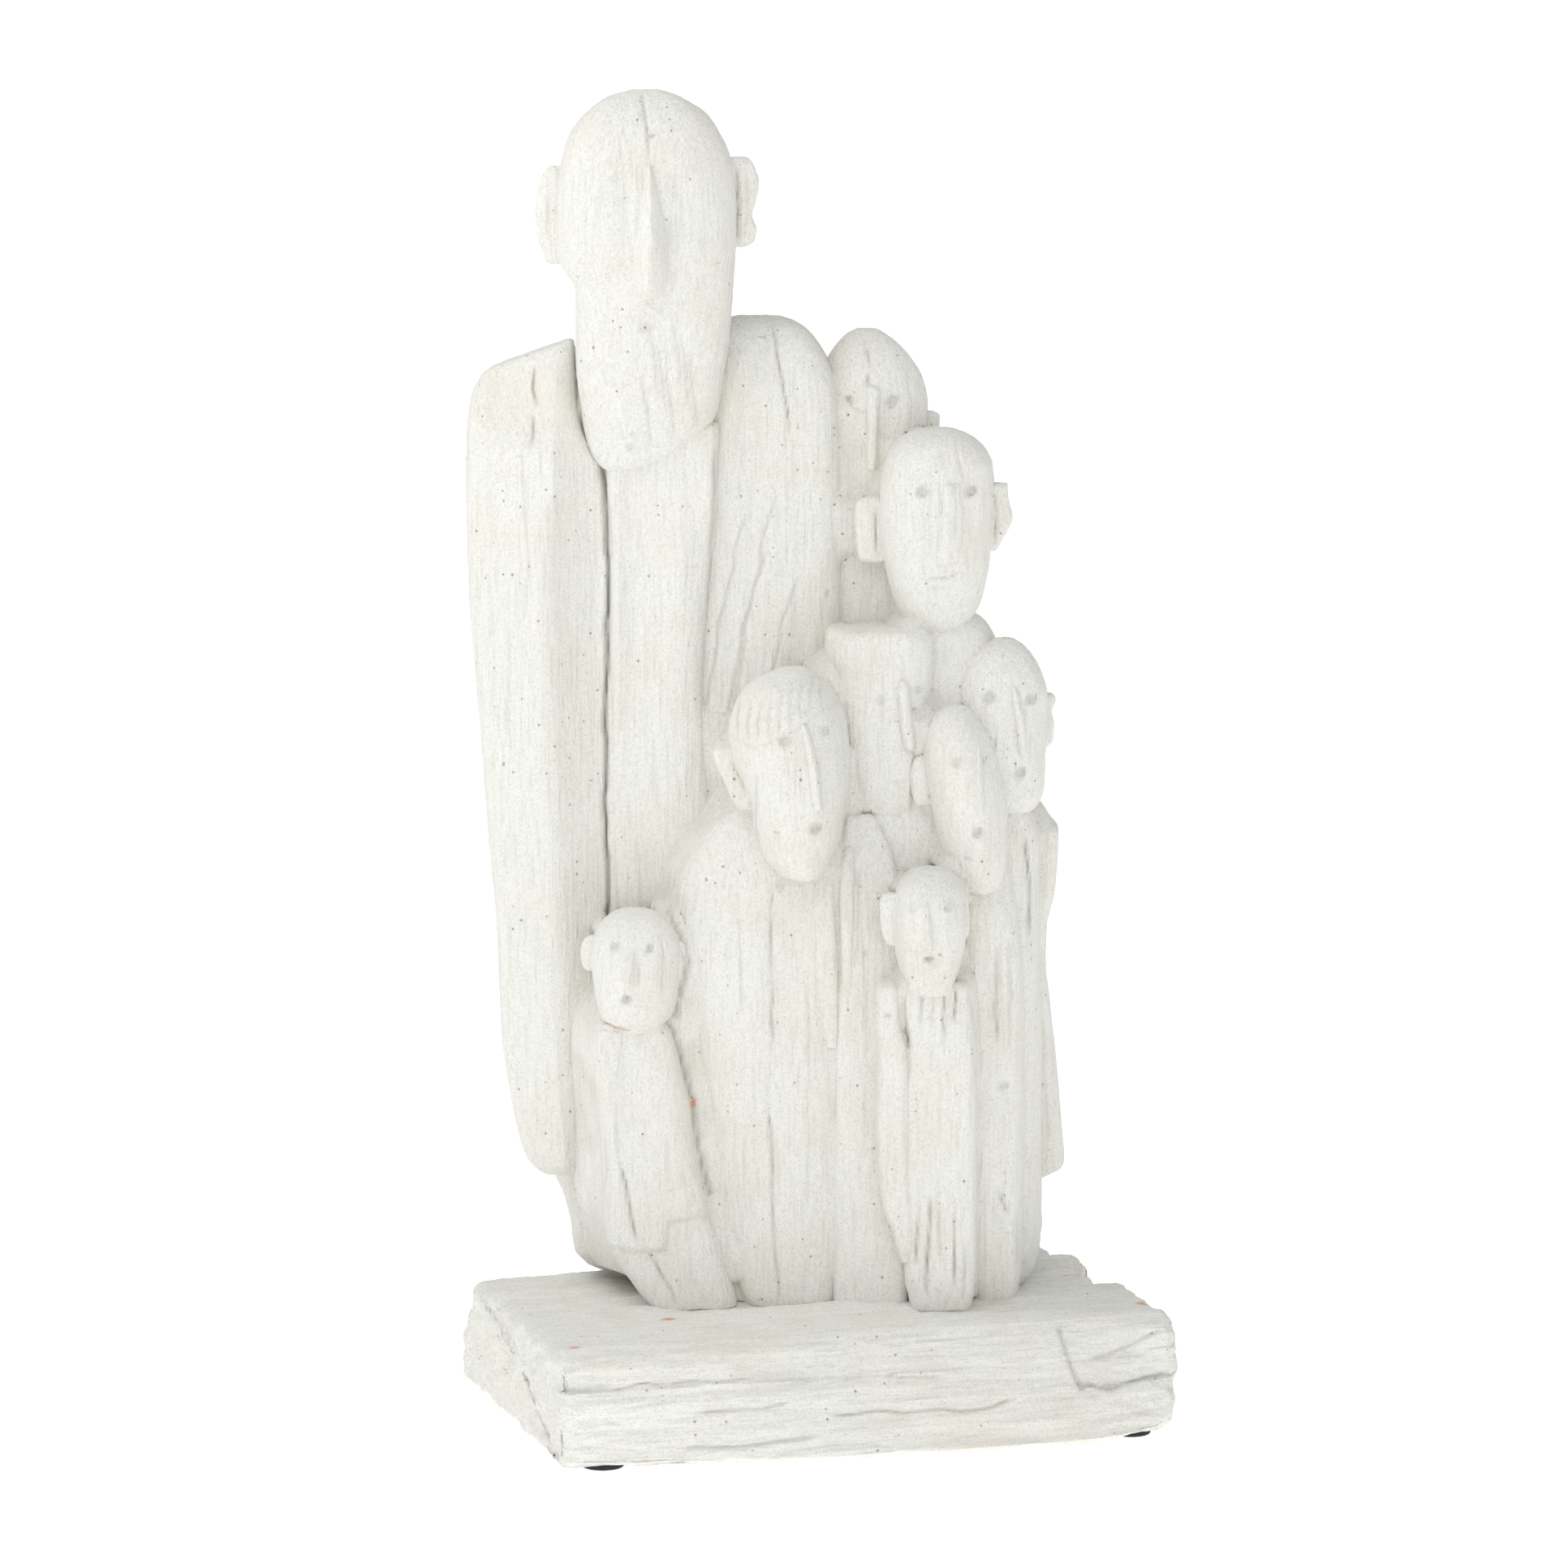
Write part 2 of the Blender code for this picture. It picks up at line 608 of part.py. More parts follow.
def fill_pockets(item):
    """Apply the modifiers, and make solid what the joined boards enclose between them"""
    bpy.context.view_layer.update()
    evaluated = item.evaluated_get(bpy.context.evaluated_depsgraph_get())
    mesh = bpy.data.meshes.new_from_object(evaluated)
    shape = bmesh.new()
    shape.from_mesh(mesh)
    left = set(shape.faces)
    pockets = []
    while left:
        island = island_of(next(iter(left)))
        left -= island
        if signed_volume(island) < 0:
            pockets.extend(island)
    loose = {corner for face in pockets for corner in face.verts}
    bmesh.ops.delete(shape, geom=list(loose), context="VERTS")
    shape.to_mesh(mesh)
    shape.free()
    mesh.name = item.name
    item.modifiers.clear()
    item.data = mesh


def build_group(parts, material):
    frame = bpy.data.objects.new("group_frame", None)
    parts.objects.link(frame)
    frame.location = (*GROUP_PLACE, GROUP_FOOT)
    frame.rotation_euler = (0.0, 0.0, math.radians(GROUP_TURN))

    boards = new_collection("group_boards")
    cuts = new_collection("group_cuts")
    carving = Carving(frame, boards, cuts)
    tall_figure(carving)
    back_figure(carving)
    eared_figure(carving)
    block_headed_figure(carving)
    far_right_figure(carving)
    long_faced_figure(carving)
    capped_figure(carving)
    left_child(carving)
    right_child(carving)

    core = Board("figure_group", (
        (0, -56, 20, 27, 45),
        (120, -84, 10, 25, 42),
        (250, -82, -4, 24, 37),
        (264, -76, -12, 26, 35),
    ), squareness=4.0, sides=12, ridges=0.0)
    group = new_object("figure_group", core.mesh(), parts, frame)
    join = group.modifiers.new("join the boards", "BOOLEAN")
    join.operation = "UNION"
    join.operand_type = "COLLECTION"
    join.collection = boards
    join.solver = "EXACT"
    carve = group.modifiers.new("carve holes and splits", "BOOLEAN")
    carve.operation = "DIFFERENCE"
    carve.operand_type = "COLLECTION"
    carve.collection = cuts
    carve.solver = "EXACT"
    fill_pockets(group)
    group.data.materials.append(material)
    return group


def plinth_front(along):
    """Where the foot of the plinth's bowed front is, which stands out most right of the middle"""
    share = along / PLINTH_LENGTH + 0.5
    fullest = 0.77
    fall_at_right = 0.79
    if share < fullest:
        fall = (1 - share / fullest) ** 2
    else:
        fall = fall_at_right * ((share - fullest) / (1 - fullest)) ** 2
    return -PLINTH_DEPTH / 2 - PLINTH_BOW / 2 + 2 * PLINTH_BOW * fall


def plinth_section(along, end_wear, foot_lift):
    """The plinth's outline where it is cut across, with weathered ledges down its front"""
    foot = plinth_front(along) + end_wear
    brow = -PLINTH_DEPTH / 2 + PLINTH_FRONT_BATTER + end_wear
    back = PLINTH_DEPTH / 2 - end_wear
    back_brow = back - PLINTH_BACK_BATTER
    low = PLINTH_UNDERSIDE + foot_lift
    high = PLINTH_TOP - end_wear
    chamfer = PLINTH_FOOT_CHAMFER
    wear = PLINTH_TOP_WEAR
    face_low = low + chamfer * 0.7
    face_high = high - wear * 0.7
    points = [(foot + chamfer, low)]
    ledges = 7
    for step in range(ledges):
        share = step / (ledges - 1)
        long_wave = 0.0008 * math.sin(5.1 * step + 28 * along)
        short_wave = 0.0005 * math.sin(step + 61 * along)
        away = foot + (brow - foot) * share + long_wave + short_wave
        points.append((away, face_low + (face_high - face_low) * share))
    worn_edge = wear * 0.3
    worn_height = high - wear * 0.25
    points.append((brow + worn_edge, worn_height))
    points.append((brow + wear, high))
    points.append((back_brow - wear, high))
    points.append((back_brow - worn_edge, worn_height))
    points.append((back_brow, face_high))
    points.append((back, low + (high - low) * 0.35))
    points.append((back, face_low))
    points.append((back - chamfer, low))
    return [Vector((along, away, height)) for away, height in points]


def plinth_cut(cuts, name, along, away, turn, width, depth):
    """A block that breaks away what is right of a corner and behind it, down to a depth"""
    bpy.ops.mesh.primitive_cube_add(size=1.0)
    cutter = bpy.context.object
    cutter.name = name
    angle = math.radians(turn)
    across = Vector((math.cos(angle), math.sin(angle))) * width / 2
    back = Vector((-math.sin(angle), math.cos(angle))) * width / 2
    cutter.scale = (width, width, PLINTH_THICKNESS)
    cutter.rotation_euler = (0.0, 0.0, angle)
    middle = across + back
    height = PLINTH_TOP - depth + PLINTH_THICKNESS / 2
    cutter.location = (along + middle.x, away + middle.y, height)
    for collection in list(cutter.users_collection):
        collection.objects.unlink(cutter)
    cuts.objects.link(cutter)
    hide_helper(cutter)


def plinth_crack(cuts, name, route, width, depth):
    """A gaping crack in the front, along a route of shares along and up"""
    rings = []
    for index, (share_along, share_up) in enumerate(route):
        along = (share_along - 0.5) * PLINTH_LENGTH
        height = PLINTH_UNDERSIDE + share_up * PLINTH_THICKNESS
        foot = plinth_front(along)
        brow = -PLINTH_DEPTH / 2 + PLINTH_FRONT_BATTER
        face = foot + (brow - foot) * share_up
        half = width / 2 * (CRACK_END if index in (0, len(route) - 1) else 1.0)
        after = route[min(index + 1, len(route) - 1)]
        before = route[max(index - 1, 0)]
        run_along = (after[0] - before[0]) * PLINTH_LENGTH
        run_up = (after[1] - before[1]) * PLINTH_THICKNESS
        side = Vector((run_along, 0, run_up)).normalized().cross(Vector((0, 1, 0)))
        middle = Vector((along, face, height))
        proud = Vector((0, -4 * depth, 0))
        rings.append([
            middle + side * half * CUTTER_FLARE + proud,
            middle + side * half,
            middle + Vector((0, depth, 0)),
            middle - side * half,
            middle - side * half * CUTTER_FLARE + proud,
        ])
    hide_helper(new_object(name, loft_mesh(name, rings), cuts))


def build_plinth(parts, material):
    """One block with worn ends, then what has broken off it and the cracks in its front

    Each end is given from its face inwards, by inset, wear of the edges and lift of the foot.
    """
    half = PLINTH_LENGTH / 2
    left_end = ((0.0, 0.0022, 0.001), (0.0006, 0.001, 0.0), (0.002, 0.0002, 0.0), (0.008, 0.0, 0.0))
    right_end = ((0.0, 0.0032, 0.011), (0.0008, 0.0015, 0.008), (0.003, 0.0005, 0.003), (0.008, 0.0, 0.0))
    stations = [(-half + inset, wear, lift) for inset, wear, lift in left_end]
    spans = 10
    reach = half - left_end[-1][0]
    for step in range(1, spans):
        stations.append((-reach + 2 * reach * step / spans, 0.0, 0.0))
    stations += [(half - inset, wear, lift) for inset, wear, lift in reversed(right_end)]
    mesh = loft_mesh("plinth", [plinth_section(*station) for station in stations])
    plinth = new_object("plinth", mesh, parts)

    cuts = new_collection("plinth_cuts")
    notch_inset = 0.009
    notch_away = -0.008
    break_inset = 0.007
    break_away = PLINTH_DEPTH / 2 - 0.026
    shallow = PLINTH_THICKNESS * 0.2
    deep = PLINTH_THICKNESS * 0.5
    plinth_cut(cuts, "right_end_notch", half - notch_inset, notch_away, 6, 0.035, shallow)
    plinth_cut(cuts, "back_right_break", half - break_inset, break_away, -10, 0.05, deep)
    plinth_crack(cuts, "end_crack", ((0.806, 0.96), (0.812, 0.8), (0.82, 0.62), (0.83, 0.44)), 0.0016, 0.004)
    plinth_crack(cuts, "ledge_crack", ((0.83, 0.45), (0.88, 0.43), (0.94, 0.44), (0.99, 0.42)), 0.0014, 0.004)
    plinth_crack(cuts, "left_crack", ((0.2, 0.44), (0.26, 0.455), (0.32, 0.44), (0.36, 0.46)), 0.0012, 0.003)
    plinth_crack(cuts, "long_crack", ((0.42, 0.32), (0.52, 0.345), (0.63, 0.335), (0.72, 0.36)), 0.0012, 0.003)
    carve = plinth.modifiers.new("breaks and cracks", "BOOLEAN")
    carve.operation = "DIFFERENCE"
    carve.operand_type = "COLLECTION"
    carve.collection = cuts
    carve.solver = "EXACT"
    plinth.data.materials.append(material)
    return plinth


def build_pads(parts, material):
    """Four round pads under the corners, all as far from the ends and from the long edges"""
    across = PLINTH_LENGTH / 2 - PAD_END_DISTANCE + PAD_DIAMETER / 4
    inward = PAD_EDGE_DISTANCE
    places = (
        ("pad_front_left", -across, plinth_front(-across) + inward),
        ("pad_front_right", across, plinth_front(across) + inward),
        ("pad_back_left", -across, PLINTH_DEPTH / 2 - inward),
        ("pad_back_right", across, PLINTH_DEPTH / 2 - inward),
    )
    for name, x, y in places:
        bpy.ops.mesh.primitive_cylinder_add(
            vertices=24,
            radius=PAD_DIAMETER / 2,
            depth=PAD_HEIGHT,
            location=(x, y, PAD_HEIGHT / 2),
        )
        pad = bpy.context.object
        pad.name = name
        for collection in list(pad.users_collection):
            collection.objects.unlink(pad)
        parts.objects.link(pad)
        pad.data.materials.append(material)


def main():
    clear_scene()
    parts = new_collection("figure_group_statuette")
    coat = new_material("white sandy coat over cast resin", (0.80, 0.78, 0.72), 0.9)
    rubber = new_material("black rubber", (0.02, 0.02, 0.02), 0.7)
    build_group(parts, coat)
    build_plinth(parts, coat)
    build_pads(parts, rubber)


main()
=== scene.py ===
import math

import bmesh
import bpy
import numpy as np
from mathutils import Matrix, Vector


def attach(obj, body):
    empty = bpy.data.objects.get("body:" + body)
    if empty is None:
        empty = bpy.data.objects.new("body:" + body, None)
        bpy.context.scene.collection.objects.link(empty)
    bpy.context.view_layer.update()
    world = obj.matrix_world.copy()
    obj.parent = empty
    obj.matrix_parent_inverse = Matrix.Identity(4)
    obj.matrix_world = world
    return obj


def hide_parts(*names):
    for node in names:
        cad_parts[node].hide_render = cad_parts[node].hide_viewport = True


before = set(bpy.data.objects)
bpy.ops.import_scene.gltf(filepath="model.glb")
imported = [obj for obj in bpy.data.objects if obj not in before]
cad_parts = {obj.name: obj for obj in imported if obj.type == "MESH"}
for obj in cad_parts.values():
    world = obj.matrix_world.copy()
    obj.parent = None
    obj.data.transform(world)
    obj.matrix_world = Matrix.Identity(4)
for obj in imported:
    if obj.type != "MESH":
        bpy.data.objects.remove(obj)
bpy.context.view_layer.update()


# THE TALL FIGURE'S SHOULDER BOARDS
# A long head on a neck between two shoulder boards, carved as if from split and weathered logs.
# It is one resin casting with all the other figures, under a white coat with sand in it.

# The group's own frame: millimetres across to the right, away from the viewer, and up
GROUP_PLACE = (2.5, 5.0, 36.0)
GROUP_TURN = math.radians(-16.74)

# A sloping top fades out over this many millimetres below it
TOP_SLOPE_REACH = 30.0
# The grain runs upwards, so the rings may lie further apart than the columns, most of all on tall
# logs and over their ends
RING_GAP = 1.3
TALL_RING_GAP = 1.6
END_RING_GAP = 1.6
TALL_LOG = 80.0


def ease(share):
    """From 0 to 1 with a gentle start and end"""
    return share * share * (3 - 2 * share)


def between_stations(heights, values, at):
    """Values between stations, on a smooth curve that never swings past them"""
    steps = np.diff(heights)
    slopes = np.diff(values) / steps
    tangents = np.zeros(len(values))
    tangents[0] = slopes[0]
    tangents[-1] = slopes[-1]
    same_way = slopes[:-1] * slopes[1:] > 0
    means = 2 * slopes[:-1] * slopes[1:] / np.where(same_way, slopes[:-1] + slopes[1:], 1)
    tangents[1:-1] = np.where(same_way, means, 0)
    place = np.clip(np.searchsorted(heights, at) - 1, 0, len(steps) - 1)
    share = np.clip((at - heights[place]) / steps[place], 0, 1)
    squared = share * share
    cubed = squared * share
    return (
        (2 * cubed - 3 * squared + 1) * values[place]
        + (cubed - 2 * squared + share) * steps[place] * tangents[place]
        + (3 * squared - 2 * cubed) * values[place + 1]
        + (cubed - squared) * steps[place] * tangents[place + 1]
    )


def wood_noise(points, across, along, seed):
    """Smooth noise from -1 to 1 over points in millimetres, drawn out along the grain, which is up"""
    scaled = points / np.array((across, across, along)) + seed * 17.3
    cells = np.floor(scaled).astype(np.int64)
    inside = scaled - cells
    eased = ease(inside)
    total = np.zeros(len(points))
    for corner in range(8):
        offset = np.array((corner & 1, corner >> 1 & 1, corner >> 2 & 1))
        mixed = ((cells + offset) * (73856093, 19349663, 83492791)).sum(axis=1) + seed * 2654435761
        mixed = (mixed ^ (mixed >> 13)) * 1274126177 & 0xFFFFFFFF
        mixed = (mixed ^ (mixed >> 16)) & 0xFFFF
        share = np.where(offset, eased, 1 - eased).prod(axis=1)
        total += share * (mixed / 32767.5 - 1)
    return total


class Log:
    """One split log: a fine skin over stations of height, left, right, front and back

    Squareness 2 gives a round section, 4 or more a plank, and under 2 a ridged sliver. Fine and
    coarse are how far apart the points lie in front and behind, and rim rounds the ends. Grain is
    how strong the relief is, lean slants it, and deeper stretches the log backwards. Beside a log
    with a skirt the resin slopes back from its face. Marks are carved into its front by where they
    are across and up.
    """

    def __init__(self, stations, squareness=2.6, turn=0.0, top_slope=0.0,
                 fine=0.8, coarse=2.0, rim=1.2, grain=1.0, lean=0.0, deeper=1.0, skirt=False, seed=1):
        self.stations = np.array(stations, float)
        self.stations[:, 4] = self.stations[:, 3] + deeper * (self.stations[:, 4] - self.stations[:, 3])
        self.squareness = squareness
        self.turn = math.radians(turn)
        self.top_slope = top_slope
        self.fine = fine
        self.coarse = coarse
        self.rim = rim
        self.grain = grain
        self.lean = lean
        self.skirt = skirt
        self.seed = seed
        self.marks = []

    def section(self, heights):
        """Left, right, front and back at some heights"""
        at = np.clip(heights, self.stations[0, 0], self.stations[-1, 0])
        return [
            between_stations(self.stations[:, 0], self.stations[:, side], at) for side in (1, 2, 3, 4)
        ]

    def front_at(self, across, height):
        """How far away the front is at a place on it"""
        left, right, front, back = (float(value[0]) for value in self.section(np.array([height])))
        side = min(1.0, abs(across - (left + right) / 2) / ((right - left) / 2))
        bulge = (1 - side ** self.squareness) ** (1 / self.squareness)
        return (front + back) / 2 - bulge * (back - front) / 2

    def crack(self, route, width, depth, blush=0.0, wander=0.35):
        """A crack that runs up through (height, across) places"""
        self.marks.append(("crack", np.array(sorted(route), float), width, depth, blush, wander))

    def crease(self, route, width, depth, blush=0.0, wander=0.3):
        """A crease that runs across through (across, height) places"""
        self.marks.append(("crease", np.array(sorted(route), float), width, depth, blush, wander))

    def ridge(self, route, reach_left, reach_right, proud):
        """A raised edge through (height, across) places, which slopes off to both sides"""
        self.marks.append(("ridge", np.array(sorted(route), float), reach_left, reach_right, proud))

    def step(self, route, proud, soft=1.2):
        """A raised layer above an edge that runs across through (across, height) places"""
        self.marks.append(("step", np.array(sorted(route), float), proud, soft))

    def hollow(self, across, height, wide, tall, depth):
        """A shallow worn hollow, or a swelling where the depth is negative"""
        self.marks.append(("hollow", across, height, wide, tall, depth))

    def hole(self, across, height, radius, depth, dark=1.0):
        """A round hole with a soft rim, painted darker inside by dark as painted shade"""
        self.marks.append(("hole", across, height, radius, depth, dark))

    def cracks(self, *cracks):
        for crack in cracks:
            self.crack(*crack)

    def hollows(self, *hollows):
        for hollow in hollows:
            self.hollow(*hollow)

    def holes(self, *holes):
        for hole in holes:
            self.hole(*hole)

    def ring_angles(self):
        """Angles round the section, set close together in front and wider apart behind"""
        angles = np.linspace(math.pi / 2, math.pi / 2 + math.tau, 4001)
        wide = (self.stations[:, 2] - self.stations[:, 1]).mean() / 2
        deep = (self.stations[:, 4] - self.stations[:, 3]).mean() / 2
        across, away = self.unit_section(angles)
        lengths = np.hypot(np.diff(across * wide), np.diff(away * deep))
        behind = (away[1:] + away[:-1]) / 2 > 0.3
        counts = np.concatenate(([0.0], np.cumsum(lengths / np.where(behind, self.coarse, self.fine))))
        columns = max(12, int(round(counts[-1])))
        return np.interp(np.arange(columns) * counts[-1] / columns, counts, angles)

    def unit_section(self, angles):
        """Across and away round a section that reaches from -1 to 1"""
        power = 2 / self.squareness
        across = np.sign(np.cos(angles)) * np.abs(np.cos(angles)) ** power
        away = np.sign(np.sin(angles)) * np.abs(np.sin(angles)) ** power
        return across, away

    def rings(self):
        """Height, and share of the section's full size, for every ring"""
        low, high = self.stations[0, 0], self.stations[-1, 0]
        ends = []
        for height in (low, high):
            left, right, front, back = (float(value[0]) for value in self.section(np.array([height])))
            small = min(right - left, back - front) / 2
            rim = min(self.rim, small * 0.8, (high - low) / 4)
            # The rim turns over in a quarter circle, and flat rings close the end inside it
            rounding = [(1 - math.cos(turn)) * rim for turn in np.linspace(0, math.pi / 2, 4)[1:]]
            flat = np.linspace(rim, small, max(3, int(small / (self.fine * END_RING_GAP))) + 1)[1:]
            insets = np.array(rounding + list(flat))
            rises = rim * np.sqrt(1 - np.clip(1 - insets / rim, 0, 1) ** 2)
            ends.append((rim, 1 - insets / small, rises))
        foot_rim, foot_shares, foot_rises = ends[0]
        top_rim, top_shares, top_rises = ends[1]
        ring_gap = self.fine * (TALL_RING_GAP if high - low > TALL_LOG else RING_GAP)
        count = max(4, int(round((high - low - foot_rim - top_rim) / ring_gap)))
        middle = np.linspace(low + foot_rim, high - top_rim, count + 1)
        heights = np.concatenate((
            (low + foot_rim - foot_rises)[::-1],
            middle,
            high - top_rim + top_rises,
        ))
        shares = np.concatenate((foot_shares[::-1], np.ones(len(middle)), top_shares))
        return heights, shares

    def skin(self):
        """Points, faces, and how much painted shade and how pink each point is"""
        heights, shares = self.rings()
        angles = self.ring_angles()
        left, right, front, back = self.section(heights)
        unit_across, unit_away = self.unit_section(angles)
        across = np.outer((right - left) / 2 * shares, unit_across)
        away = np.outer((back - front) / 2 * shares, unit_away)
        turned_across = across * math.cos(self.turn) - away * math.sin(self.turn)
        turned_away = across * math.sin(self.turn) + away * math.cos(self.turn)
        slope = self.top_slope * np.clip(1 - (self.stations[-1, 0] - heights) / TOP_SLOPE_REACH, 0, 1)
        grid = np.stack((
            ((left + right) / 2)[:, None] + turned_across,
            ((front + back) / 2)[:, None] + turned_away,
            heights[:, None] + slope[:, None] * turned_across,
        ), axis=2)
        rows, columns = grid.shape[:2]
        points = grid.reshape(-1, 3)
        normals = self.normals(grid).reshape(-1, 3)
        # Marks fade out where the section turns away at its sides, and keep off the rounded ends
        facing = np.tile(np.clip(-unit_away * 2.5, 0, 1), rows) * np.repeat(shares > 0.97, columns)
        cut, painted_shade, blush = np.zeros((3, len(points)))
        for mark in self.marks:
            depth, mark_shade, mark_blush = self.carved(mark, points)
            cut += depth * facing
            # The darkest painted shade of any mark is kept at each point
            painted_shade = np.maximum(painted_shade, mark_shade * facing)
            blush = np.maximum(blush, mark_blush * facing)
        points = points + normals * self.weather(points)[:, None]
        points[:, 1] += cut
        points[:columns] = points[:columns].mean(axis=0)
        points[-columns:] = points[-columns:].mean(axis=0)
        return points, ring_faces(rows, columns), painted_shade, blush

    def normals(self, grid):
        """Directions straight out of the surface"""
        around = np.roll(grid, -1, axis=1) - np.roll(grid, 1, axis=1)
        upward = np.empty_like(grid)
        upward[1:-1] = grid[2:] - grid[:-2]
        upward[0] = grid[1] - grid[0]
        upward[-1] = grid[-1] - grid[-2]
        normals = np.cross(around, upward)
        lengths = np.linalg.norm(normals, axis=2, keepdims=True)
        return normals / np.maximum(lengths, 1e-9)

    def weather(self, points):
        """How far sanded grain, swellings and fine drying checks lift or sink the surface"""
        leaned = points.copy()
        leaned[:, 0] -= self.lean * points[:, 2]
        seed = self.seed * 10
        swelling = wood_noise(leaned, 11.0, 60.0, seed)
        lumps = wood_noise(points, 6.5, 9.0, seed + 6)
        strands = wood_noise(leaned, 3.4, 42.0, seed + 1)
        fibres = wood_noise(leaned, 1.5, 16.0, seed + 2)
        grit = wood_noise(points, 1.5, 1.7, seed + 3)
        rough = np.clip(wood_noise(leaned, 16.0, 45.0, seed + 4) * 2 + 0.5, 0.2, 1)
        line = 1 - np.abs(wood_noise(leaned, 5.2, 75.0, seed + 5)) / 0.1
        checks = np.clip(line, 0, 1) * np.clip(rough - 0.4, 0, 1)
        lift = 0.30 * swelling + 0.20 * lumps + 0.12 * grit - 0.22 * checks
        lift += (0.19 * strands + 0.13 * fibres) * rough
        return lift * self.grain

    def carved(self, mark, points):
        """Depth, painted shade and blush of one mark at every point"""
        kind = mark[0]
        across, height = points[:, 0], points[:, 2]
        none = np.zeros(len(points))
        if kind in ("crack", "crease"):
            _, route, width, depth, blush, wander = mark
            run, side = (height, across) if kind == "crack" else (across, height)
            low, high = route[0, 0], route[-1, 0]
            end = min(5.0, (high - low) / 3)
            open_share = np.clip((run - low) / end, 0, 1) * np.clip((high - run) / end, 0, 1)
            turns = np.stack((none, none, run), axis=1)
            middle = np.interp(run, route[:, 0], route[:, 1]) + wander * wood_noise(turns, 5, 6.0, 77)
            gape = 0.75 + 0.35 * wood_noise(turns, 5, 9.0, 78)
            half = width / 2 * gape * np.sqrt(open_share)
            shown_half = np.maximum(half, 1.1 * self.fine)
            closeness = np.clip(1 - np.abs(side - middle) / shown_half, 0, 1)
            sunk = closeness ** 0.8 * half / shown_half
            # A crack or crease is painted darker along its middle, as painted shade in it
            return depth * sunk, sunk, blush * sunk
        if kind == "ridge":
            _, route, reach_left, reach_right, proud = mark
            low, high = route[0, 0], route[-1, 0]
            end = min(12.0, (high - low) / 3)
            there = np.clip((height - low) / end, 0, 1) * np.clip((high - height) / end, 0, 1)
            offset = across - np.interp(height, route[:, 0], route[:, 1])
            reach = np.where(offset < 0, reach_left, reach_right)
            share = np.clip(1 - np.abs(offset) / reach, 0, 1) * there
            # The side right of the edge, turned away from the lamp, is painted a little darker as painted
            # shade
            return -proud * share, 0.035 * proud * np.clip(offset + 0.5, 0, 1) * share, none
        if kind == "step":
            _, route, proud, soft = mark
            edge = np.interp(across, route[:, 0], route[:, 1]) + 0.3 * wood_noise(points, 3.0, 3.0, 80)
            above = np.clip((height - edge) / soft + 0.5, 0, 1)
            # A thin line of painted shade runs just below the edge
            lip = np.exp(-((height - edge + 0.3) / 0.6) ** 2)
            return -proud * ease(above), 0.3 * lip, none
        if kind == "hollow":
            _, centre, middle, wide, tall, depth = mark
            worn_away = np.exp(-((across - centre) / wide) ** 2 - ((height - middle) / tall) ** 2)
            return depth * worn_away, none, none
        _, centre, middle, radius, depth, dark = mark
        ragged = 1 + 0.12 * wood_noise(points, 2.0, 2.0, 79)
        distance = np.hypot(across - centre, height - middle) / (radius * ragged)
        sunk = ease(np.clip((1.1 - distance) / 0.45, 0, 1))
        rim = 0.18 * np.exp(-((distance - 1.35) / 0.22) ** 2)
        # The hole is painted darker inside, as painted shade
        return 0.7 * depth * sunk - rim, 0.4 * dark * sunk, none


def ring_faces(rows, columns):
    """Four-sided faces between rings of points, one ring after another"""
    first = np.arange(rows - 1)[:, None] * columns + np.arange(columns)
    after = np.arange(rows - 1)[:, None] * columns + (np.arange(columns) + 1) % columns
    return np.stack((first, after, after + columns, first + columns), axis=2).reshape(-1, 4)


def nose(face, stations, squareness=2.2, fine=0.45, seed=3):
    """A sliver of wood set in a face, through stations of height, left, right and how proud it is"""
    rings = []
    for height, left, right, proud in stations:
        front = face.front_at((left + right) / 2, height)
        rings.append((height, left, right, front - proud, front + 8))
    return Log(rings, squareness=squareness, fine=fine, coarse=1.6, rim=0.6, grain=0.5, seed=seed)


# Every log goes into this list, from which the web that joins them is worked out
casting_logs = []


def in_place(points):
    """Points of the group's own frame, in metres and in their place"""
    cos, sin = math.cos(GROUP_TURN), math.sin(GROUP_TURN)
    return np.stack((
        points[:, 0] * cos - points[:, 1] * sin + GROUP_PLACE[0],
        points[:, 0] * sin + points[:, 1] * cos + GROUP_PLACE[1],
        points[:, 2] + GROUP_PLACE[2],
    ), axis=1) / 1000


def add_logs(name, logs):
    """One mesh of several logs, with its painted shade and blush for the coat"""
    points, faces, painted_shade, blush = [], [], [], []
    count = 0
    for log in logs:
        casting_logs.append(log)
        log_points, log_faces, log_shade, log_blush = log.skin()
        points.append(log_points)
        faces.append(log_faces + count)
        painted_shade.append(log_shade)
        blush.append(log_blush)
        count += len(log_points)
    placed = in_place(np.concatenate(points))
    return add_mesh(name, placed, np.concatenate(faces), np.concatenate(painted_shade), np.concatenate(blush))


def add_mesh(name, points, faces, painted_shade, blush):
    """A piece of its own, with each pole, where a ring has shrunk to one place, made one point"""
    mesh = bpy.data.meshes.new(name)
    mesh.from_pydata(points.tolist(), [], faces.tolist())
    # The painted shade and the blush go to the coat as point attributes
    for title, values in (("painted_shade", painted_shade), ("blush", blush)):
        mesh.attributes.new(title, "FLOAT", "POINT").data.foreach_set("value", values.astype(np.float32))
    shape = bmesh.new()
    shape.from_mesh(mesh)
    bmesh.ops.remove_doubles(shape, verts=shape.verts, dist=1e-7)
    shape.to_mesh(mesh)
    shape.free()
    mesh.shade_smooth()
    piece = bpy.data.objects.new(name, mesh)
    bpy.context.scene.collection.objects.link(piece)
    return piece


def add_node(tree, kind, values=None, links=None, **settings):
    """A node with its settings, the values of its sockets and what its sockets are linked to"""
    node = tree.nodes.new(kind)
    for title, value in settings.items():
        setattr(node, title, value)
    for socket, value in (values or {}).items():
        node.inputs[socket].default_value = value
    for socket, source in (links or {}).items():
        tree.links.new(source, node.inputs[socket])
    return node


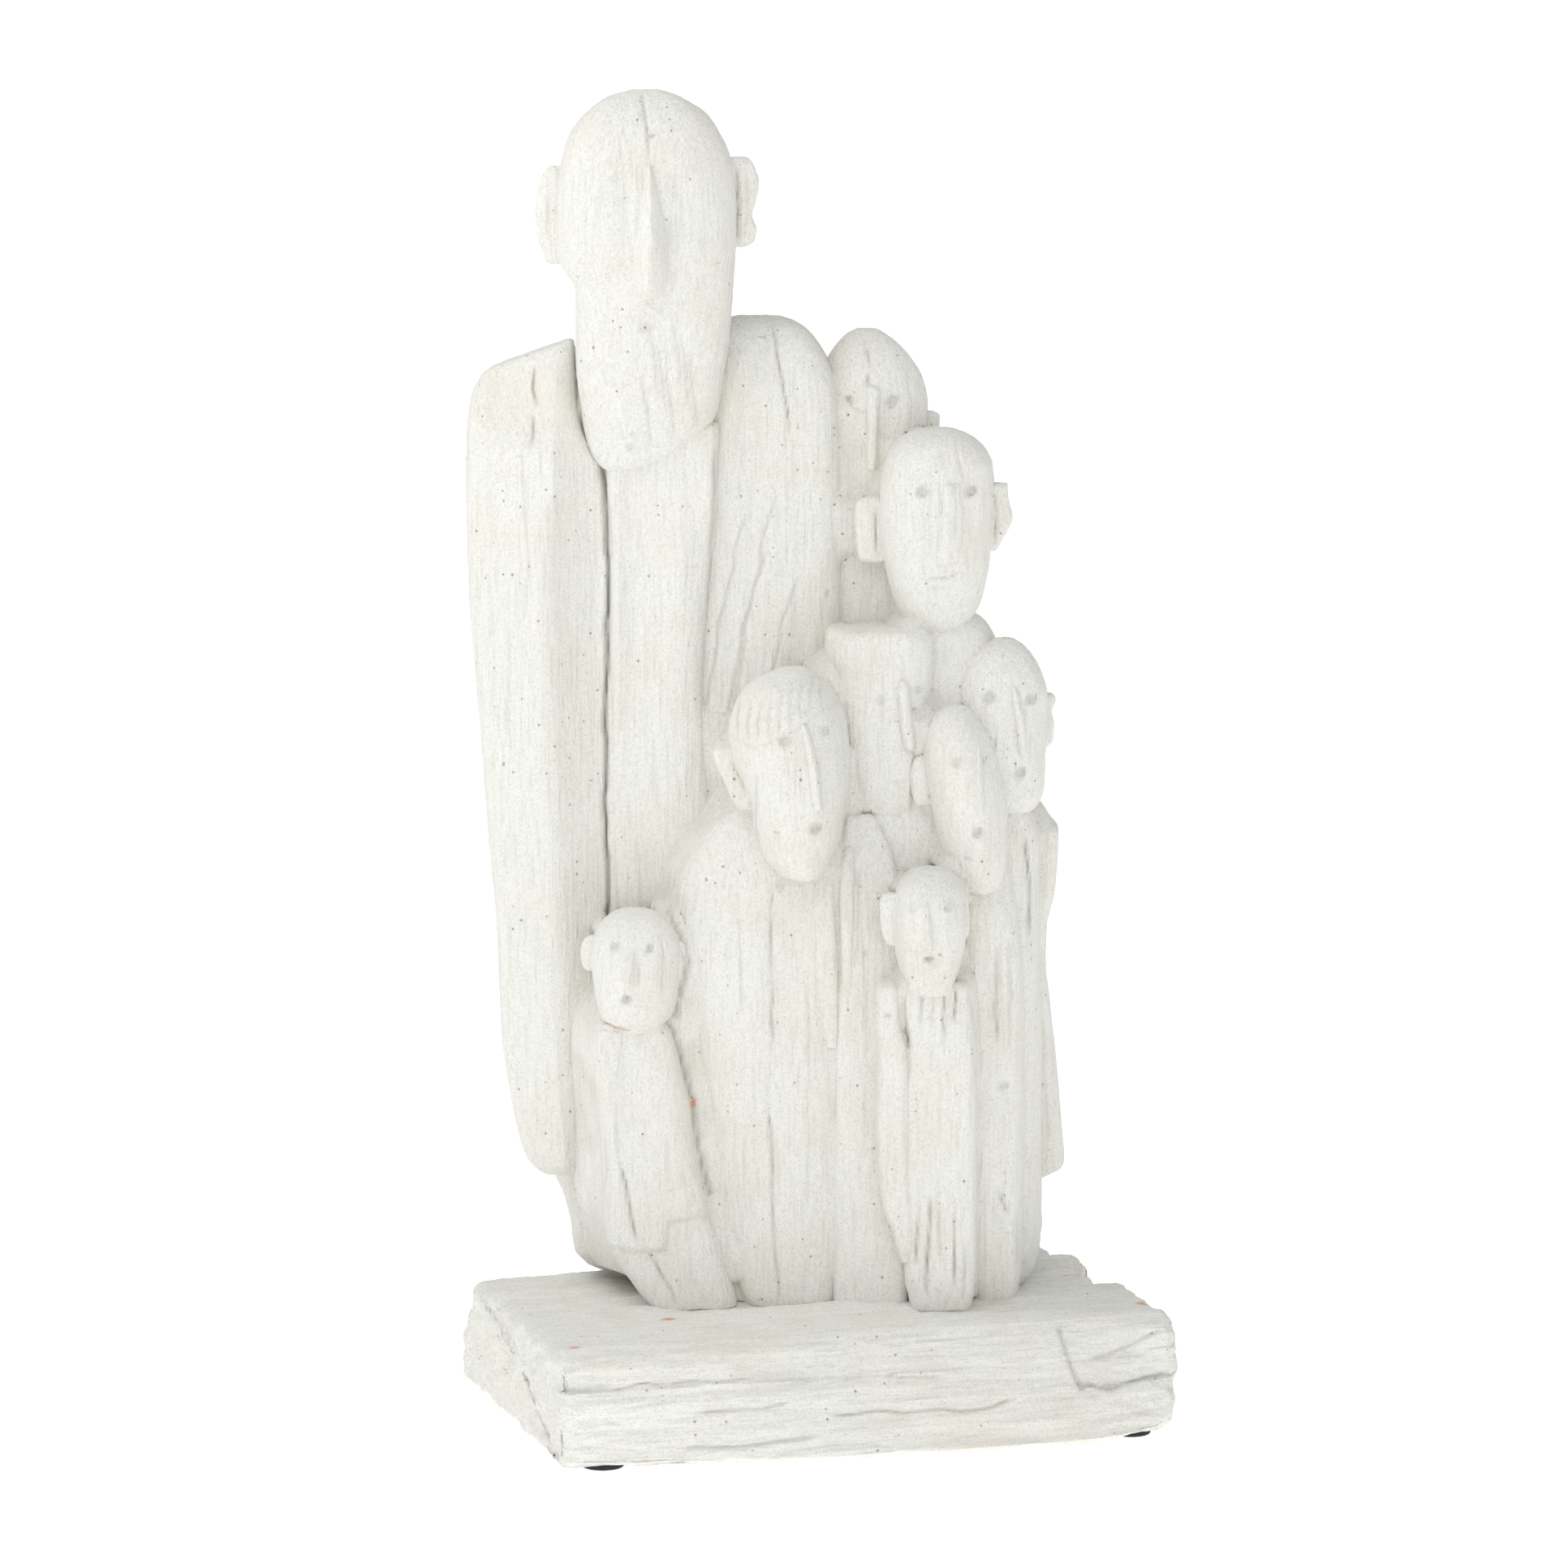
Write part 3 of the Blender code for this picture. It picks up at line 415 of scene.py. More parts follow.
def paint(code):
    """An sRGB hex colour as linear red, green, blue and alpha"""
    shares = [int(code[place:place + 2], 16) / 255 for place in (0, 2, 4)]
    linear = [share / 12.92 if share <= 0.04045 else ((share + 0.055) / 1.055) ** 2.4 for share in shares]
    return (*linear, 1.0)


def start_material(name):
    """A new material, its node tree and shader, and the place of each point on its piece"""
    material = bpy.data.materials.new(name)
    material.use_nodes = True
    tree = material.node_tree
    place = add_node(tree, "ShaderNodeTexCoord").outputs["Object"]
    return material, tree, tree.nodes["Principled BSDF"], place


# Millimetres: the grit, the gap between streaks, the clouds of a warmer tone, and the cells of which
# some have a pin-hole
GRIT_SIZE = 0.66667
STREAK_GAP = 1.0526
CLOUD_SIZE = 26.316
PIT_CELL = 2.3256
# The streaks are about 14 times as long as they are wide
ALONG_GRAIN = 0.07


def sandy_coat(name, grain_scale, slant=0.0):
    """White matt paint with fine sand, thrown over cast resin: chalky, pitted, with painted shade grey in
    its hollows

    The eye sees grit of under a millimetre, drawn a little coarser here so that it shows, with painted
    shade between the grains, faint streaks along the grain, pin-holes, and a warmer tone where the coat
    is thin or dirty.
    """
    material, tree, shader, place = start_material(name)
    along_grain = add_node(
        tree, "ShaderNodeMapping",
        {"Scale": grain_scale, "Rotation": (0.0, math.radians(-slant), 0.0)}, {"Vector": place},
    ).outputs["Vector"]
    grit = add_node(
        tree, "ShaderNodeTexNoise",
        {"Scale": 1000 / GRIT_SIZE, "Detail": 3.0, "Roughness": 0.7}, {"Vector": place},
    ).outputs["Fac"]
    streaks = add_node(
        tree, "ShaderNodeTexNoise",
        {"Scale": 1000 / STREAK_GAP, "Detail": 2.0, "Roughness": 0.55}, {"Vector": along_grain},
    ).outputs["Fac"]
    clouds = add_node(
        tree, "ShaderNodeTexNoise",
        {"Scale": 1000 / CLOUD_SIZE, "Detail": 3.0, "Roughness": 0.55}, {"Vector": place},
    ).outputs["Fac"]
    # A pin-hole is up to a fifth of its cell in radius
    cells = add_node(
        tree, "ShaderNodeTexVoronoi", {"Scale": 1000 / PIT_CELL, "Randomness": 1.0}, {"Vector": place}
    )
    pick = add_node(tree, "ShaderNodeSeparateColor", {}, {"Color": cells.outputs["Color"]}).outputs["Red"]
    pit_size = add_node(
        tree, "ShaderNodeMapRange",
        {"From Min": 0.72, "From Max": 1.0, "To Min": 0.0, "To Max": 0.2}, {"Value": pick},
    ).outputs["Result"]
    pit_edge = add_node(
        tree, "ShaderNodeMath", {}, {0: pit_size, 1: cells.outputs["Distance"]}, operation="SUBTRACT"
    ).outputs["Value"]
    pits = add_node(
        tree, "ShaderNodeMapRange",
        {"From Min": 0.0, "From Max": 0.08, "To Min": 0.0, "To Max": 1.0}, {"Value": pit_edge},
    ).outputs["Result"]
    painted_shade = add_node(tree, "ShaderNodeAttribute", attribute_name="painted_shade").outputs["Fac"]
    blush = add_node(tree, "ShaderNodeAttribute", attribute_name="blush").outputs["Fac"]

    warm = add_node(
        tree, "ShaderNodeMapRange",
        {"From Min": 0.45, "From Max": 0.72, "To Min": 0.0, "To Max": 1.0}, {"Value": clouds},
    ).outputs["Result"]
    streak_share = add_node(
        tree, "ShaderNodeMapRange",
        {"From Min": 0.52, "From Max": 0.30, "To Min": 0.0, "To Max": 0.6}, {"Value": streaks},
    ).outputs["Result"]
    # Painted shade: the coat is made darker between the grains, as the shade among them
    shade_between_grains = add_node(
        tree, "ShaderNodeMapRange",
        {"From Min": 0.52, "From Max": 0.30, "To Min": 0.0, "To Max": 1.0}, {"Value": grit},
    ).outputs["Result"]
    # Painted shade: the coat is greyed in the cracks, holes and gaps that the pieces mark
    painted_shade_share = add_node(
        tree, "ShaderNodeMath", {1: 0.45}, {0: painted_shade}, operation="MULTIPLY"
    ).outputs["Value"]
    pit_share = add_node(
        tree, "ShaderNodeMath", {1: 0.65}, {0: pits}, operation="MULTIPLY"
    ).outputs["Value"]

    colour = add_node(
        tree, "ShaderNodeMix", {6: paint("F4F4F0"), 7: paint("F2EEE5")}, {0: warm}, data_type="RGBA"
    ).outputs[2]
    # Streaks and warm clouds are the coat's own tone, and blush is salmon resin showing through; the grey
    # between the grains and the grey in the hollows are painted shade
    for share, tint in (
        (streak_share, "E3E2DA"), (shade_between_grains, "DEDDD4"), (painted_shade_share, "A9A292"),
        (pit_share, "8C8474"), (blush, "DF9A74"),
    ):
        colour = add_node(
            tree, "ShaderNodeMix", {7: paint(tint)}, {0: share, 6: colour}, data_type="RGBA"
        ).outputs[2]
    tree.links.new(colour, shader.inputs["Base Color"])

    relief = {}
    for height, depth, sinks in ((grit, 0.0006, False), (streaks, 0.0009, False), (pits, 0.0006, True)):
        bump = add_node(
            tree, "ShaderNodeBump",
            {"Strength": 0.7, "Distance": depth}, {"Height": height, **relief}, invert=sinks,
        )
        relief = {"Normal": bump.outputs["Normal"]}
    tree.links.new(relief["Normal"], shader.inputs["Normal"])
    shader.inputs["Roughness"].default_value = 0.92
    shader.inputs["IOR"].default_value = 1.5
    shader.inputs["Specular IOR Level"].default_value = 0.25
    return material


# The streaks run up the boards, but slant on the right-hand one
upright_coat = sandy_coat("white_sandy_coat_on_resin", (1.0, 1.0, ALONG_GRAIN))


def finish_figure(piece, material=None):
    """The coat of a piece, and the solid that it stands for"""
    piece.data.materials.append(material or upright_coat)
    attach(piece, "root")
    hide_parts("figure_group")


# The left shoulder is one broad board with an edge down it, which is lit on its left and falls back
# on its right to a long gap
left_board = Log((
    (33.2, -84.5, -60, 15, 34),
    (36, -88, -60, 12.6, 34),
    (40, -91, -60, 11.4, 34),
    (47, -93.3, -60, 10.6, 34),
    (60, -95.8, -60, 9.6, 35),
    (77, -98.0, -60, 8.8, 35.5),
    (112, -99.6, -60, 8.0, 36),
    (145, -102.2, -60, 7.6, 36.5),
    (165, -103.6, -60, 7.3, 37),
    (195, -106.0, -60, 7.0, 37),
    (225, -107.4, -60, 6.6, 37),
    (246, -107.6, -60.5, 6.4, 36.8),
    (252, -107.6, -62.5, 6.4, 36.6),
    (256, -107.5, -68.4, 6.4, 36.5),
    (262, -107.4, -72.4, 6.6, 36),
    (270, -107.0, -74.0, 7.6, 35),
    (277, -106.0, -74.6, 9.2, 33),
    (285.0, -102, -75.2, 12.4, 30),
), squareness=8, top_slope=0.36, fine=0.6, coarse=2.4, rim=1.6, seed=1)
left_board.ridge((
    (24, -78), (60, -79), (100, -80), (146, -80.8), (190, -82.4), (235, -81.4), (262, -80.4), (268, -80),
), 25, 14, 7.0)
left_board.hollow(-80.6, 276, 4.2, 9, -3.6)
left_board.crack((
    (96, -65.2), (119, -65.4), (146, -65.8), (166, -65.6), (184, -65.2), (206, -64.8),
    (221, -64.8), (236, -65.0), (245, -65.4), (253, -66.2), (257.5, -68.0),
), 2.2, 4.2, wander=0.5)
left_board.crack(((44, -64.6), (60, -65.0), (80, -65.2), (98, -65.2)), 0.9, 1.1)
left_board.crack(((257, -87.4), (262, -86.6), (267.5, -87.0)), 1.3, 1.4, blush=0.2, wander=0.9)
left_board.crack(((269.5, -86.0), (275, -86.6), (281.5, -86.4)), 1.3, 1.6, blush=0.3, wander=0.9)
left_board.cracks(
    (((205, -90), (216, -89), (226, -88.4), (240, -89.3), (256, -90)), 0.8, 0.6),
    (((170, -95), (188, -94.6), (206, -94.4)), 0.7, 0.5),
)
left_board.hollows((-94, 62, 5, 16, 1.2), (-96, 272, 5, 7, 0.8))

low_board = Log((
    (2.5, -70.5, -50, 17, 36),
    (5, -73.2, -50, 14, 36),
    (9, -76.4, -50, 12.6, 36),
    (18, -77.6, -50, 12, 36),
    (26, -79.4, -50, 11.6, 36),
    (33, -82.4, -52, 11.4, 36),
    (44, -86, -56, 11.2, 35),
    (64, -88, -60, 10.8, 34),
), squareness=4.6, fine=0.7, coarse=2.4, rim=1.8, skirt=True, seed=2)
low_board.hollow(-70, 40, 3.5, 16, -1.4)

finish_figure(add_logs("tall_left_shoulder", [left_board, low_board]))


# THE TALL FIGURE'S MIDDLE AND RIGHT BOARDS
# Two broad planks under the chin. The middle one has a lit upper edge, the right one slanting grain.
# A long gap runs down the left of the middle plank, and a fold parts the two.

middle_board = Log((
    (60, -70, -30, 12, 42),
    (80, -68, -30, 10.6, 42),
    (112, -65.0, -31, 8.6, 42),
    (150, -64.9, -34, 7.0, 42),
    (180, -64.6, -36.2, 5.8, 42),
    (198, -64.4, -35.8, 4.8, 42),
    (210, -64.2, -34.6, 4.0, 42),
    (222, -64.2, -33.2, 3.2, 42),
    (235, -64.3, -32.2, 2.4, 42),
    (245, -64.8, -31.6, 1.6, 41.5),
    (252, -65.2, -31.2, 1.2, 41),
    (257.5, -66.0, -31.0, 1.0, 40),
    (262.0, -66.0, -31.4, 1.6, 38),
), squareness=8, top_slope=0.2, fine=0.6, coarse=2.4, rim=1.2, seed=5)
middle_board.hollows(
    (-56.5, 215, 4.5, 34, 1.9), (-42.5, 226, 6.0, 36, -1.3), (-62.5, 205, 2.4, 60, -0.7),
    (-33.6, 246, 2.6, 16, -1.2),
)
middle_board.crack(((206, -35.2), (222, -34.0), (236, -32.9), (248, -32.4), (258, -32.2)), 1.6, 1.0)
middle_board.ridge(((130, -44), (160, -45), (200, -43.5), (240, -42)), 7, 9, 0.9)
middle_board.cracks(
    (((140, -49), (156, -50), (170, -51)), 0.8, 0.6), (((90, -56), (116, -55), (140, -56.4)), 0.8, 0.5),
)

right_board = Log((
    (90, -42, 7, 12.6, 38),
    (118, -42, 7.5, 11.4, 42),
    (160, -42, 6.8, 9.4, 43),
    (190, -42, 6.5, 8.6, 42),
    (205, -42, 6.3, 8.2, 42),
    (225, -42, 6.0, 7.8, 42),
    (240, -42, 6.0, 7.4, 41.5),
    (256, -41, 5.9, 7.0, 41),
    (266, -39, 5.4, 6.8, 40.5),
    (274, -37, 4.4, 7.0, 40),
    (282, -35, 1.8, 7.8, 39),
    (288, -33.4, -1.6, 9.4, 37.5),
    (292, -31.6, -5.0, 11.5, 35),
    (296.2, -29.0, -10.5, 16, 32),
), squareness=3.8, fine=0.62, coarse=2.4, rim=3.2, lean=0.16, grain=1.25, seed=7)
right_board.ridge(((262, -27), (272, -26.0), (284, -24.6), (296, -23.5)), 5, 6, 2.0)
right_board.crack(((262, -9.6), (270, -11.0), (276, -11.6), (284, -13.6), (299, -15.4)), 1.4, 1.4)
right_board.hollows(
    (-18.4, 284, 2.4, 14, 1.6), (-29.5, 262, 3.0, 26, -1.4), (-21, 258, 4, 18, 0.9),
    (-6, 240, 5, 30, 0.7), (-26, 228, 3, 18, -0.8),
)
right_board.hole(1.5, 213, 0.9, 0.8)
for shift, top, sunk in ((0.0, 238, 0.3), (5.4, 226, 0.4), (9.0, 243, 0.25), (15.2, 219, 0.3)):
    right_board.crack((
        (top - 66, -35.2 + shift), (top - 48, -33.0 + shift), (top - 30, -30.2 + shift),
        (top - 12, -26.4 + shift), (top, -22.6 + shift),
    ), 1.6, sunk, wander=0.8)
right_board.hollows((-28, 205, 3.2, 26, 0.8), (-14, 200, 4.0, 34, -0.6))

finish_figure(add_logs("tall_middle_board", [middle_board]))
slanting_coat = sandy_coat("white_sandy_coat_slanting_grain", (1.0, 1.0, ALONG_GRAIN), 9.0)
finish_figure(add_logs("tall_right_board", [right_board]), slanting_coat)


# THE TALL FIGURE'S HEAD
# A long narrow head like an upturned log, with a wedge of a nose, two dim eyes and slab ears.
# A fine crack runs down the brow to a pin-hole, and fibres stand out down the throat.

tall_head = Log((
    (251.0, -66.0, -56.4, 1.2, 20),
    (252.2, -67.4, -51.6, 0.0, 22),
    (254.2, -69.0, -45.6, -0.9, 22),
    (257.0, -70.2, -40.0, -1.7, 22),
    (260.5, -71.0, -35.6, -2.6, 22),
    (264.5, -71.8, -32.8, -3.6, 22),
    (270, -72.6, -31.0, -5.2, 22),
    (278, -73.5, -29.7, -7.6, 22),
    (289, -73.9, -28.3, -10.4, 22),
    (303.5, -73.9, -27.1, -13.4, 22),
    (308.5, -75.5, -26.8, -14.4, 22.2),
    (312, -77.8, -26.6, -15.2, 22.4),
    (318.7, -79.1, -26.2, -17, 22.6),
    (329, -79.2, -25.9, -17.1, 23),
    (338, -78.5, -26.6, -16.8, 22.6),
    (345.5, -77.3, -28.0, -15.8, 22),
    (351.5, -75.3, -30.6, -14, 20.5),
    (356.8, -71.6, -34.2, -11, 18),
    (360.6, -67.2, -39.5, -7.5, 14.5),
    (363.2, -62, -44.5, -3.5, 10.5),
    (364.6, -57.5, -48.5, 0, 7),
), squareness=3.0, fine=0.55, coarse=1.9, rim=0.6, grain=1.15, seed=9)
tall_head.holes((-60.9, 338.3, 1.7, 0.5, 0.25), (-43.0, 338.3, 1.7, 0.5, 0.25))
tall_head.hollows(
    (-61, 336, 3.2, 3.6, 0.7), (-43, 336, 3.2, 3.6, 0.7), (-58.2, 322, 2.2, 17, 0.8),
    (-44.2, 320, 2.4, 17, 1.0),
)
tall_head.hole(-52.4, 294.5, 1.6, 0.7, 0.3)
tall_head.hollow(-52.0, 297, 4, 3.5, 0.5)
tall_head.hole(-50.8, 350.6, 0.75, 1.2)
tall_head.crack(((342, -51.7), (347, -51.6), (353, -52.1), (360, -53.0), (364.5, -53.8)), 1.0, 1.3)
tall_head.hollow(-70, 268, 5, 8, 0.6)
for strand in range(7):
    strand_low = 257 + 3.1 * (strand * 5 % 7)
    strand_across = -52.5 + 2.3 * strand
    tall_head.crack((
        (strand_low, strand_across + 1.2), (strand_low + 11, strand_across + 0.2),
        (strand_low + 24, strand_across - 1.4),
    ), 1.0, 0.5, wander=0.6)
tall_head.hollows((-56, 300, 3.5, 5, -0.7), (-40.5, 298, 4.5, 8, -0.6))
tall_head.holes((-57.5, 258.5, 1.1, 0.6, 0.6), (-57.0, 262.0, 0.8, 0.5, 0.6))

tall_nose = nose(tall_head, (
    (303.0, -54.2, -49.8, 2.6),
    (305.0, -55.8, -47.4, 5.8),
    (308.5, -56.6, -46.0, 7.6),
    (316, -56.2, -45.6, 7.2),
    (326, -55.0, -46.6, 5.6),
    (336, -53.8, -48.4, 3.6),
    (343, -52.4, -50.0, 1.2),
), squareness=1.4, seed=11)

left_ear = Log((
    (312.8, -83.0, -78, 1.2, 4.8),
    (315, -83.4, -76, 0.4, 5.6),
    (320, -85.4, -74, 0, 6),
    (328.5, -86.0, -74, 0, 6),
    (336, -84.8, -74, 0, 6),
    (340.2, -83.2, -76, 0.6, 5.4),
    (341.8, -81.6, -78, 1.4, 4.6),
), squareness=3.0, fine=0.6, coarse=1.4, rim=0.9, seed=12)
left_ear.crack(((318, -81.5), (326, -81.9), (334, -81.5)), 1.1, 0.6)
right_ear = Log((
    (317.8, -29, -22.4, 1.2, 4.8),
    (319.6, -30, -20.4, 0.2, 5.6),
    (323.5, -30, -19.6, 0, 6),
    (325.2, -30, -20.4, 0, 6),
    (327, -30, -21.0, 0, 6),
    (330.8, -30, -20.2, 0, 6),
    (336.9, -30, -19.2, 0, 6),
    (341.5, -30, -20.4, 0.3, 5.7),
    (344.4, -28, -22.4, 1.4, 4.6),
), squareness=3.0, fine=0.6, coarse=1.4, rim=0.9, seed=13)
right_ear.cracks(
    (((319, -25.4), (327, -25.6), (336, -25.4), (342, -25.2)), 1.4, 1.6),
    (((322, -22.6), (332, -22.4), (340, -22.6)), 0.8, 0.5),
)

finish_figure(add_logs("tall_head", [tall_head, tall_nose, left_ear, right_ear]))


# THE BACK FIGURE
# A rounder head behind the tall figure's right shoulder, on a board that hardly shows.
# It has deep round eyes, a flat plank of a nose and a split down its brow.

back_body = Log((
    (0, -8, 44, 26, 52),
    (110, -8, 44, 22, 50),
    (200, -3, 38, 16, 47),
    (230, 0, 32, 15.5, 43),
    (240, 6, 27, 17, 40),
), squareness=3.4, fine=0.9, coarse=1.7, seed=15)
back_head = Log((
    (229, 9, 22, 23, 36),
    (238, 3.5, 27, 18, 40),
    (252, 0, 31, 15, 42),
    (261, -1.0, 32.0, 14.2, 43),
    (269, -1.3, 32.2, 14, 43),
    (276.5, -0.6, 30.8, 15, 42.6),
    (283, 1.6, 27.2, 17.4, 40.6),
    (287.5, 4.6, 23, 20.4, 38),
    (290.2, 7.6, 19.4, 24, 35),
    (291.8, 10.4, 16.8, 27, 33),
), squareness=2.3, fine=0.65, coarse=1.8, rim=0.6, grain=0.8, seed=16)
back_head.holes((7.8, 270.7, 1.9, 2.2), (21.3, 270.7, 1.9, 2.2))
back_head.hollow(21.3, 268.5, 3.2, 4, 0.9)
back_head.hole(15, 245.5, 1.4, 1.6)
back_head.cracks(
    (((280.5, 14.1), (284, 13.8), (287, 13.6)), 1.0, 1.8),
    (((274.5, 14.4), (277, 13.9), (279.6, 14.1)), 1.2, 1.8),
    (((262, 26.6), (270, 26.8), (280, 25.4)), 0.9, 0.7),
)
back_nose = nose(back_head, (
    (249.8, 13.2, 16.8, 3.0),
    (262, 13.2, 17.2, 3.0),
    (271, 13.0, 17.6, 2.4),
    (275.4, 12.9, 17.8, 1.4),
), squareness=3.0, seed=17)
back_ear = Log((
    (256.5, 30.4, 34.6, 26.3, 29.7),
    (258.6, 29.4667, 35.5333, 25.5, 30.5),
    (265.425, 29, 36, 25.5, 30.5),
    (267, 30.4, 34.6, 26.3, 29.7),
), squareness=3.0, fine=0.5, coarse=1.2, rim=0.9, grain=0.8, seed=18)
finish_figure(add_logs("back_figure", [back_body, back_head, back_nose, back_ear]))


# THE EARED FIGURE
# The head at the right behind the others, with large thin ears and a nose of two slivers.
# Its mouth is a rough crease, and the brow is grooved by the grain.

eared_body = Log((
    (0, 16, 58, 8, 43),
    (110, 14, 56, 2, 41),
    (150, 10, 55, -2, 39),
    (185, 8, 54, -2, 37),
    (197, 12, 53, -1, 33),
    (204, 20, 49.5, 1, 29),
    (208, 30, 44, 5, 26),
), squareness=3.4, fine=0.9, coarse=1.8, seed=20)
eared_head = Log((
    (201.6, 30, 38.5, 2, 13),
    (203.3, 27.2, 42.8, -1, 15.5),
    (206, 24.2, 45.4, -3.4, 17.2),
    (210.5, 21.8, 47.9, -5.6, 19),
    (217, 20.0, 49.4, -7.2, 20),
    (225, 18.2, 50.7, -8.2, 20.8),
    (236, 16.9, 51.2, -8.9, 21.3),
    (245, 17.0, 51.6, -9, 21.5),
    (252, 18.5, 51.3, -8.2, 21),
    (256.5, 20.2, 49.4, -6.8, 20),
    (260, 23.2, 46.2, -4, 17.5),
    (262.2, 27.2, 42, -0.6, 14.5),
    (263.4, 31, 38.8, 3, 10.5),
), squareness=2.5, fine=0.6, coarse=1.8, rim=0.6, deeper=1.2, seed=21)
eared_head.holes((29.9, 245.3, 1.7, 1.8), (44.2, 245.5, 1.8, 2.2))
eared_head.hollows((44.5, 236, 3, 13, 1.1), (32.2, 234, 1.6, 12, 0.6))
eared_head.crease((
    (29.6, 218.2), (31.5, 218.6), (33.1, 219.6), (36.8, 219.3), (39, 220.0), (42, 221.0),
), 1.2, 0.8)
eared_head.crease(((31.6, 215.8), (34, 216.6), (37, 216)), 0.9, 0.5)
eared_head.cracks(
    (((246.5, 42.2), (252, 41.4), (258, 39.6)), 1.0, 0.8),
    (((248.5, 37.4), (254, 36.2), (259, 34.8)), 0.8, 0.5),
)
eared_head.hole(33.6, 211, 1.0, 0.6, 0.5)
nose_left = nose(eared_head, (
    (223.0, 33.4, 38.2, 2.2),
    (226, 33.8, 39.0, 3.0),
    (233, 35.2, 40.0, 3.2),
    (241, 35.7, 40.2, 2.8),
    (247.6, 36.0, 39.8, 1.4),
), squareness=3.0, seed=22)
nose_right = nose(eared_head, (
    (224, 35.4, 40.6, 1.4),
    (230, 36.6, 41.8, 1.9),
    (240, 37.0, 42.0, 1.7),
    (247.6, 37.2, 41.4, 0.7),
), squareness=3.0, seed=23)
eared_left_ear = Log((
    (222.6, 12.0, 19, 6.2, 9.8),
    (224.5, 11.0, 20, 5.6, 10.4),
    (235.6, 10.0, 20, 5.5, 10.5),
    (240.5, 10.4, 20, 5.7, 10.3),
    (242.4, 11.6, 19, 6.4, 9.6),
), squareness=3.0, fine=0.55, coarse=1.4, rim=0.8, seed=24)
eared_left_ear.crack(((224, 16.9), (232, 16.1), (240, 16.0)), 1.1, 1.5)
eared_right_ear = Log((
    (226.2, 49, 52.2, 6.2, 9.8),
    (229.5, 49, 54.2, 5.6, 10.4),
    (236.2, 49, 57.2, 5.4, 10.6),
    (241, 49, 56.2, 5.5, 10.5),
    (245, 49, 55.8, 5.7, 10.3),
    (246.6, 51, 55.8, 6.4, 9.6),
), squareness=3.0, fine=0.55, coarse=1.4, rim=0.6, seed=25)
eared_right_ear.crack(((228, 52.0), (236, 52.2), (244, 52.0)), 1.1, 1.4)
finish_figure(add_logs("eared_figure", [
    eared_body, eared_head, nose_left, nose_right, eared_left_ear, eared_right_ear,
]))


# THE BLOCK-HEADED FIGURE
# An upright length of log for a head, cut off rough and flat on top, above the front row.
# Its nose is a tall sliver near its right edge.

block_body = Log((
    (0, 4, 44, -6, 30),
    (60, 5, 44, -9, 28),
    (118, 7, 42, -11, 23),
    (140, 8, 40, -9, 20),
    (152, 10, 36, -6, 16),
    (160, 12, 32, -3, 12),
), squareness=3.4, fine=0.75, coarse=1.8, deeper=1.3, seed=27)
block_head = Log((
    (144.5, 14.5, 24.5, -3, 5),
    (148, 11.5, 27.3, -7.5, 8.5),
    (157.5, 8.2, 29.6, -9.8, 10.6),
    (170, 5.4, 31.2, -10.8, 11.8),
    (182, 3.0, 32.6, -11.5, 12.5),
    (190, 1.8, 33.6, -11.8, 12.8),
    (196.5, 0.8, 33.7, -12, 13),
    (200.6, 1.0, 33.3, -12, 13),
    (203.4, 2.2, 31.6, -11, 12),
), squareness=3.6, fine=0.6, coarse=1.8, rim=1.1, deeper=1.45, grain=1.3, seed=28)
block_head.holes((17.4, 183, 1.3, 0.9, 0.5), (28.6, 186.0, 1.3, 1.2, 0.7))
block_head.hollows((27.5, 176, 3.4, 9, 0.7), (5.5, 196, 5.5, 6, -0.8))
block_head.crease(((20.4, 158), (23, 157.4), (25.6, 158.4)), 1.0, 0.7)
block_nose = nose(block_head, (
    (167.6, 24.6, 28.0, 2.8),
    (174, 23.4, 27.6, 3.4),
    (181.5, 22.6, 26.8, 3.4),
    (186, 22.2, 26.2, 2.8),
    (189.0, 22.4, 25.6, 1.4),
), squareness=2.8, seed=29)
finish_figure(add_logs("block_headed_figure", [block_body, block_head, block_nose]))


# THE FAR RIGHT FIGURE
# A round head on a deep board at the right end, with a flange of broken wood down its edge.
# Its eyes and mouth are round holes, and a slot, a knot and a hollow are worn in the board.

far_body = Log((
    (-1.0, 46, 63, 7, 46),
    (5, 46, 66, 5, 48),
    (13, 46, 67.5, 3, 49),
    (32, 45, 67.6, 0, 50),
    (70, 44, 67.5, -3, 48),
    (115, 44, 66.5, -5, 45),
    (138, 45, 66.4, -5, 36),
    (147, 48, 63.5, -3, 25),
    (150.5, 51, 60, 0, 20),
), squareness=3.2, fine=0.8, coarse=2.2, seed=31)
far_body.crack(((110, 62.6), (124, 62.3), (132.6, 61.5), (141, 61.0)), 1.7, 2.8)
far_body.hole(54.5, 66.5, 1.7, 1.5)
far_body.hollows((54.8, 64.5, 3.5, 5, 0.9), (55, 28, 3.5, 9, 2.4))
far_body.cracks(
    (((24, 56.4), (30, 54.4), (35, 54.0)), 1.6, 1.8), (((88, 50), (104, 50.4), (118, 51)), 1.4, 1.4),
    (((84, 55.6), (96, 55.4), (112, 55.8)), 1.2, 1.2),
)
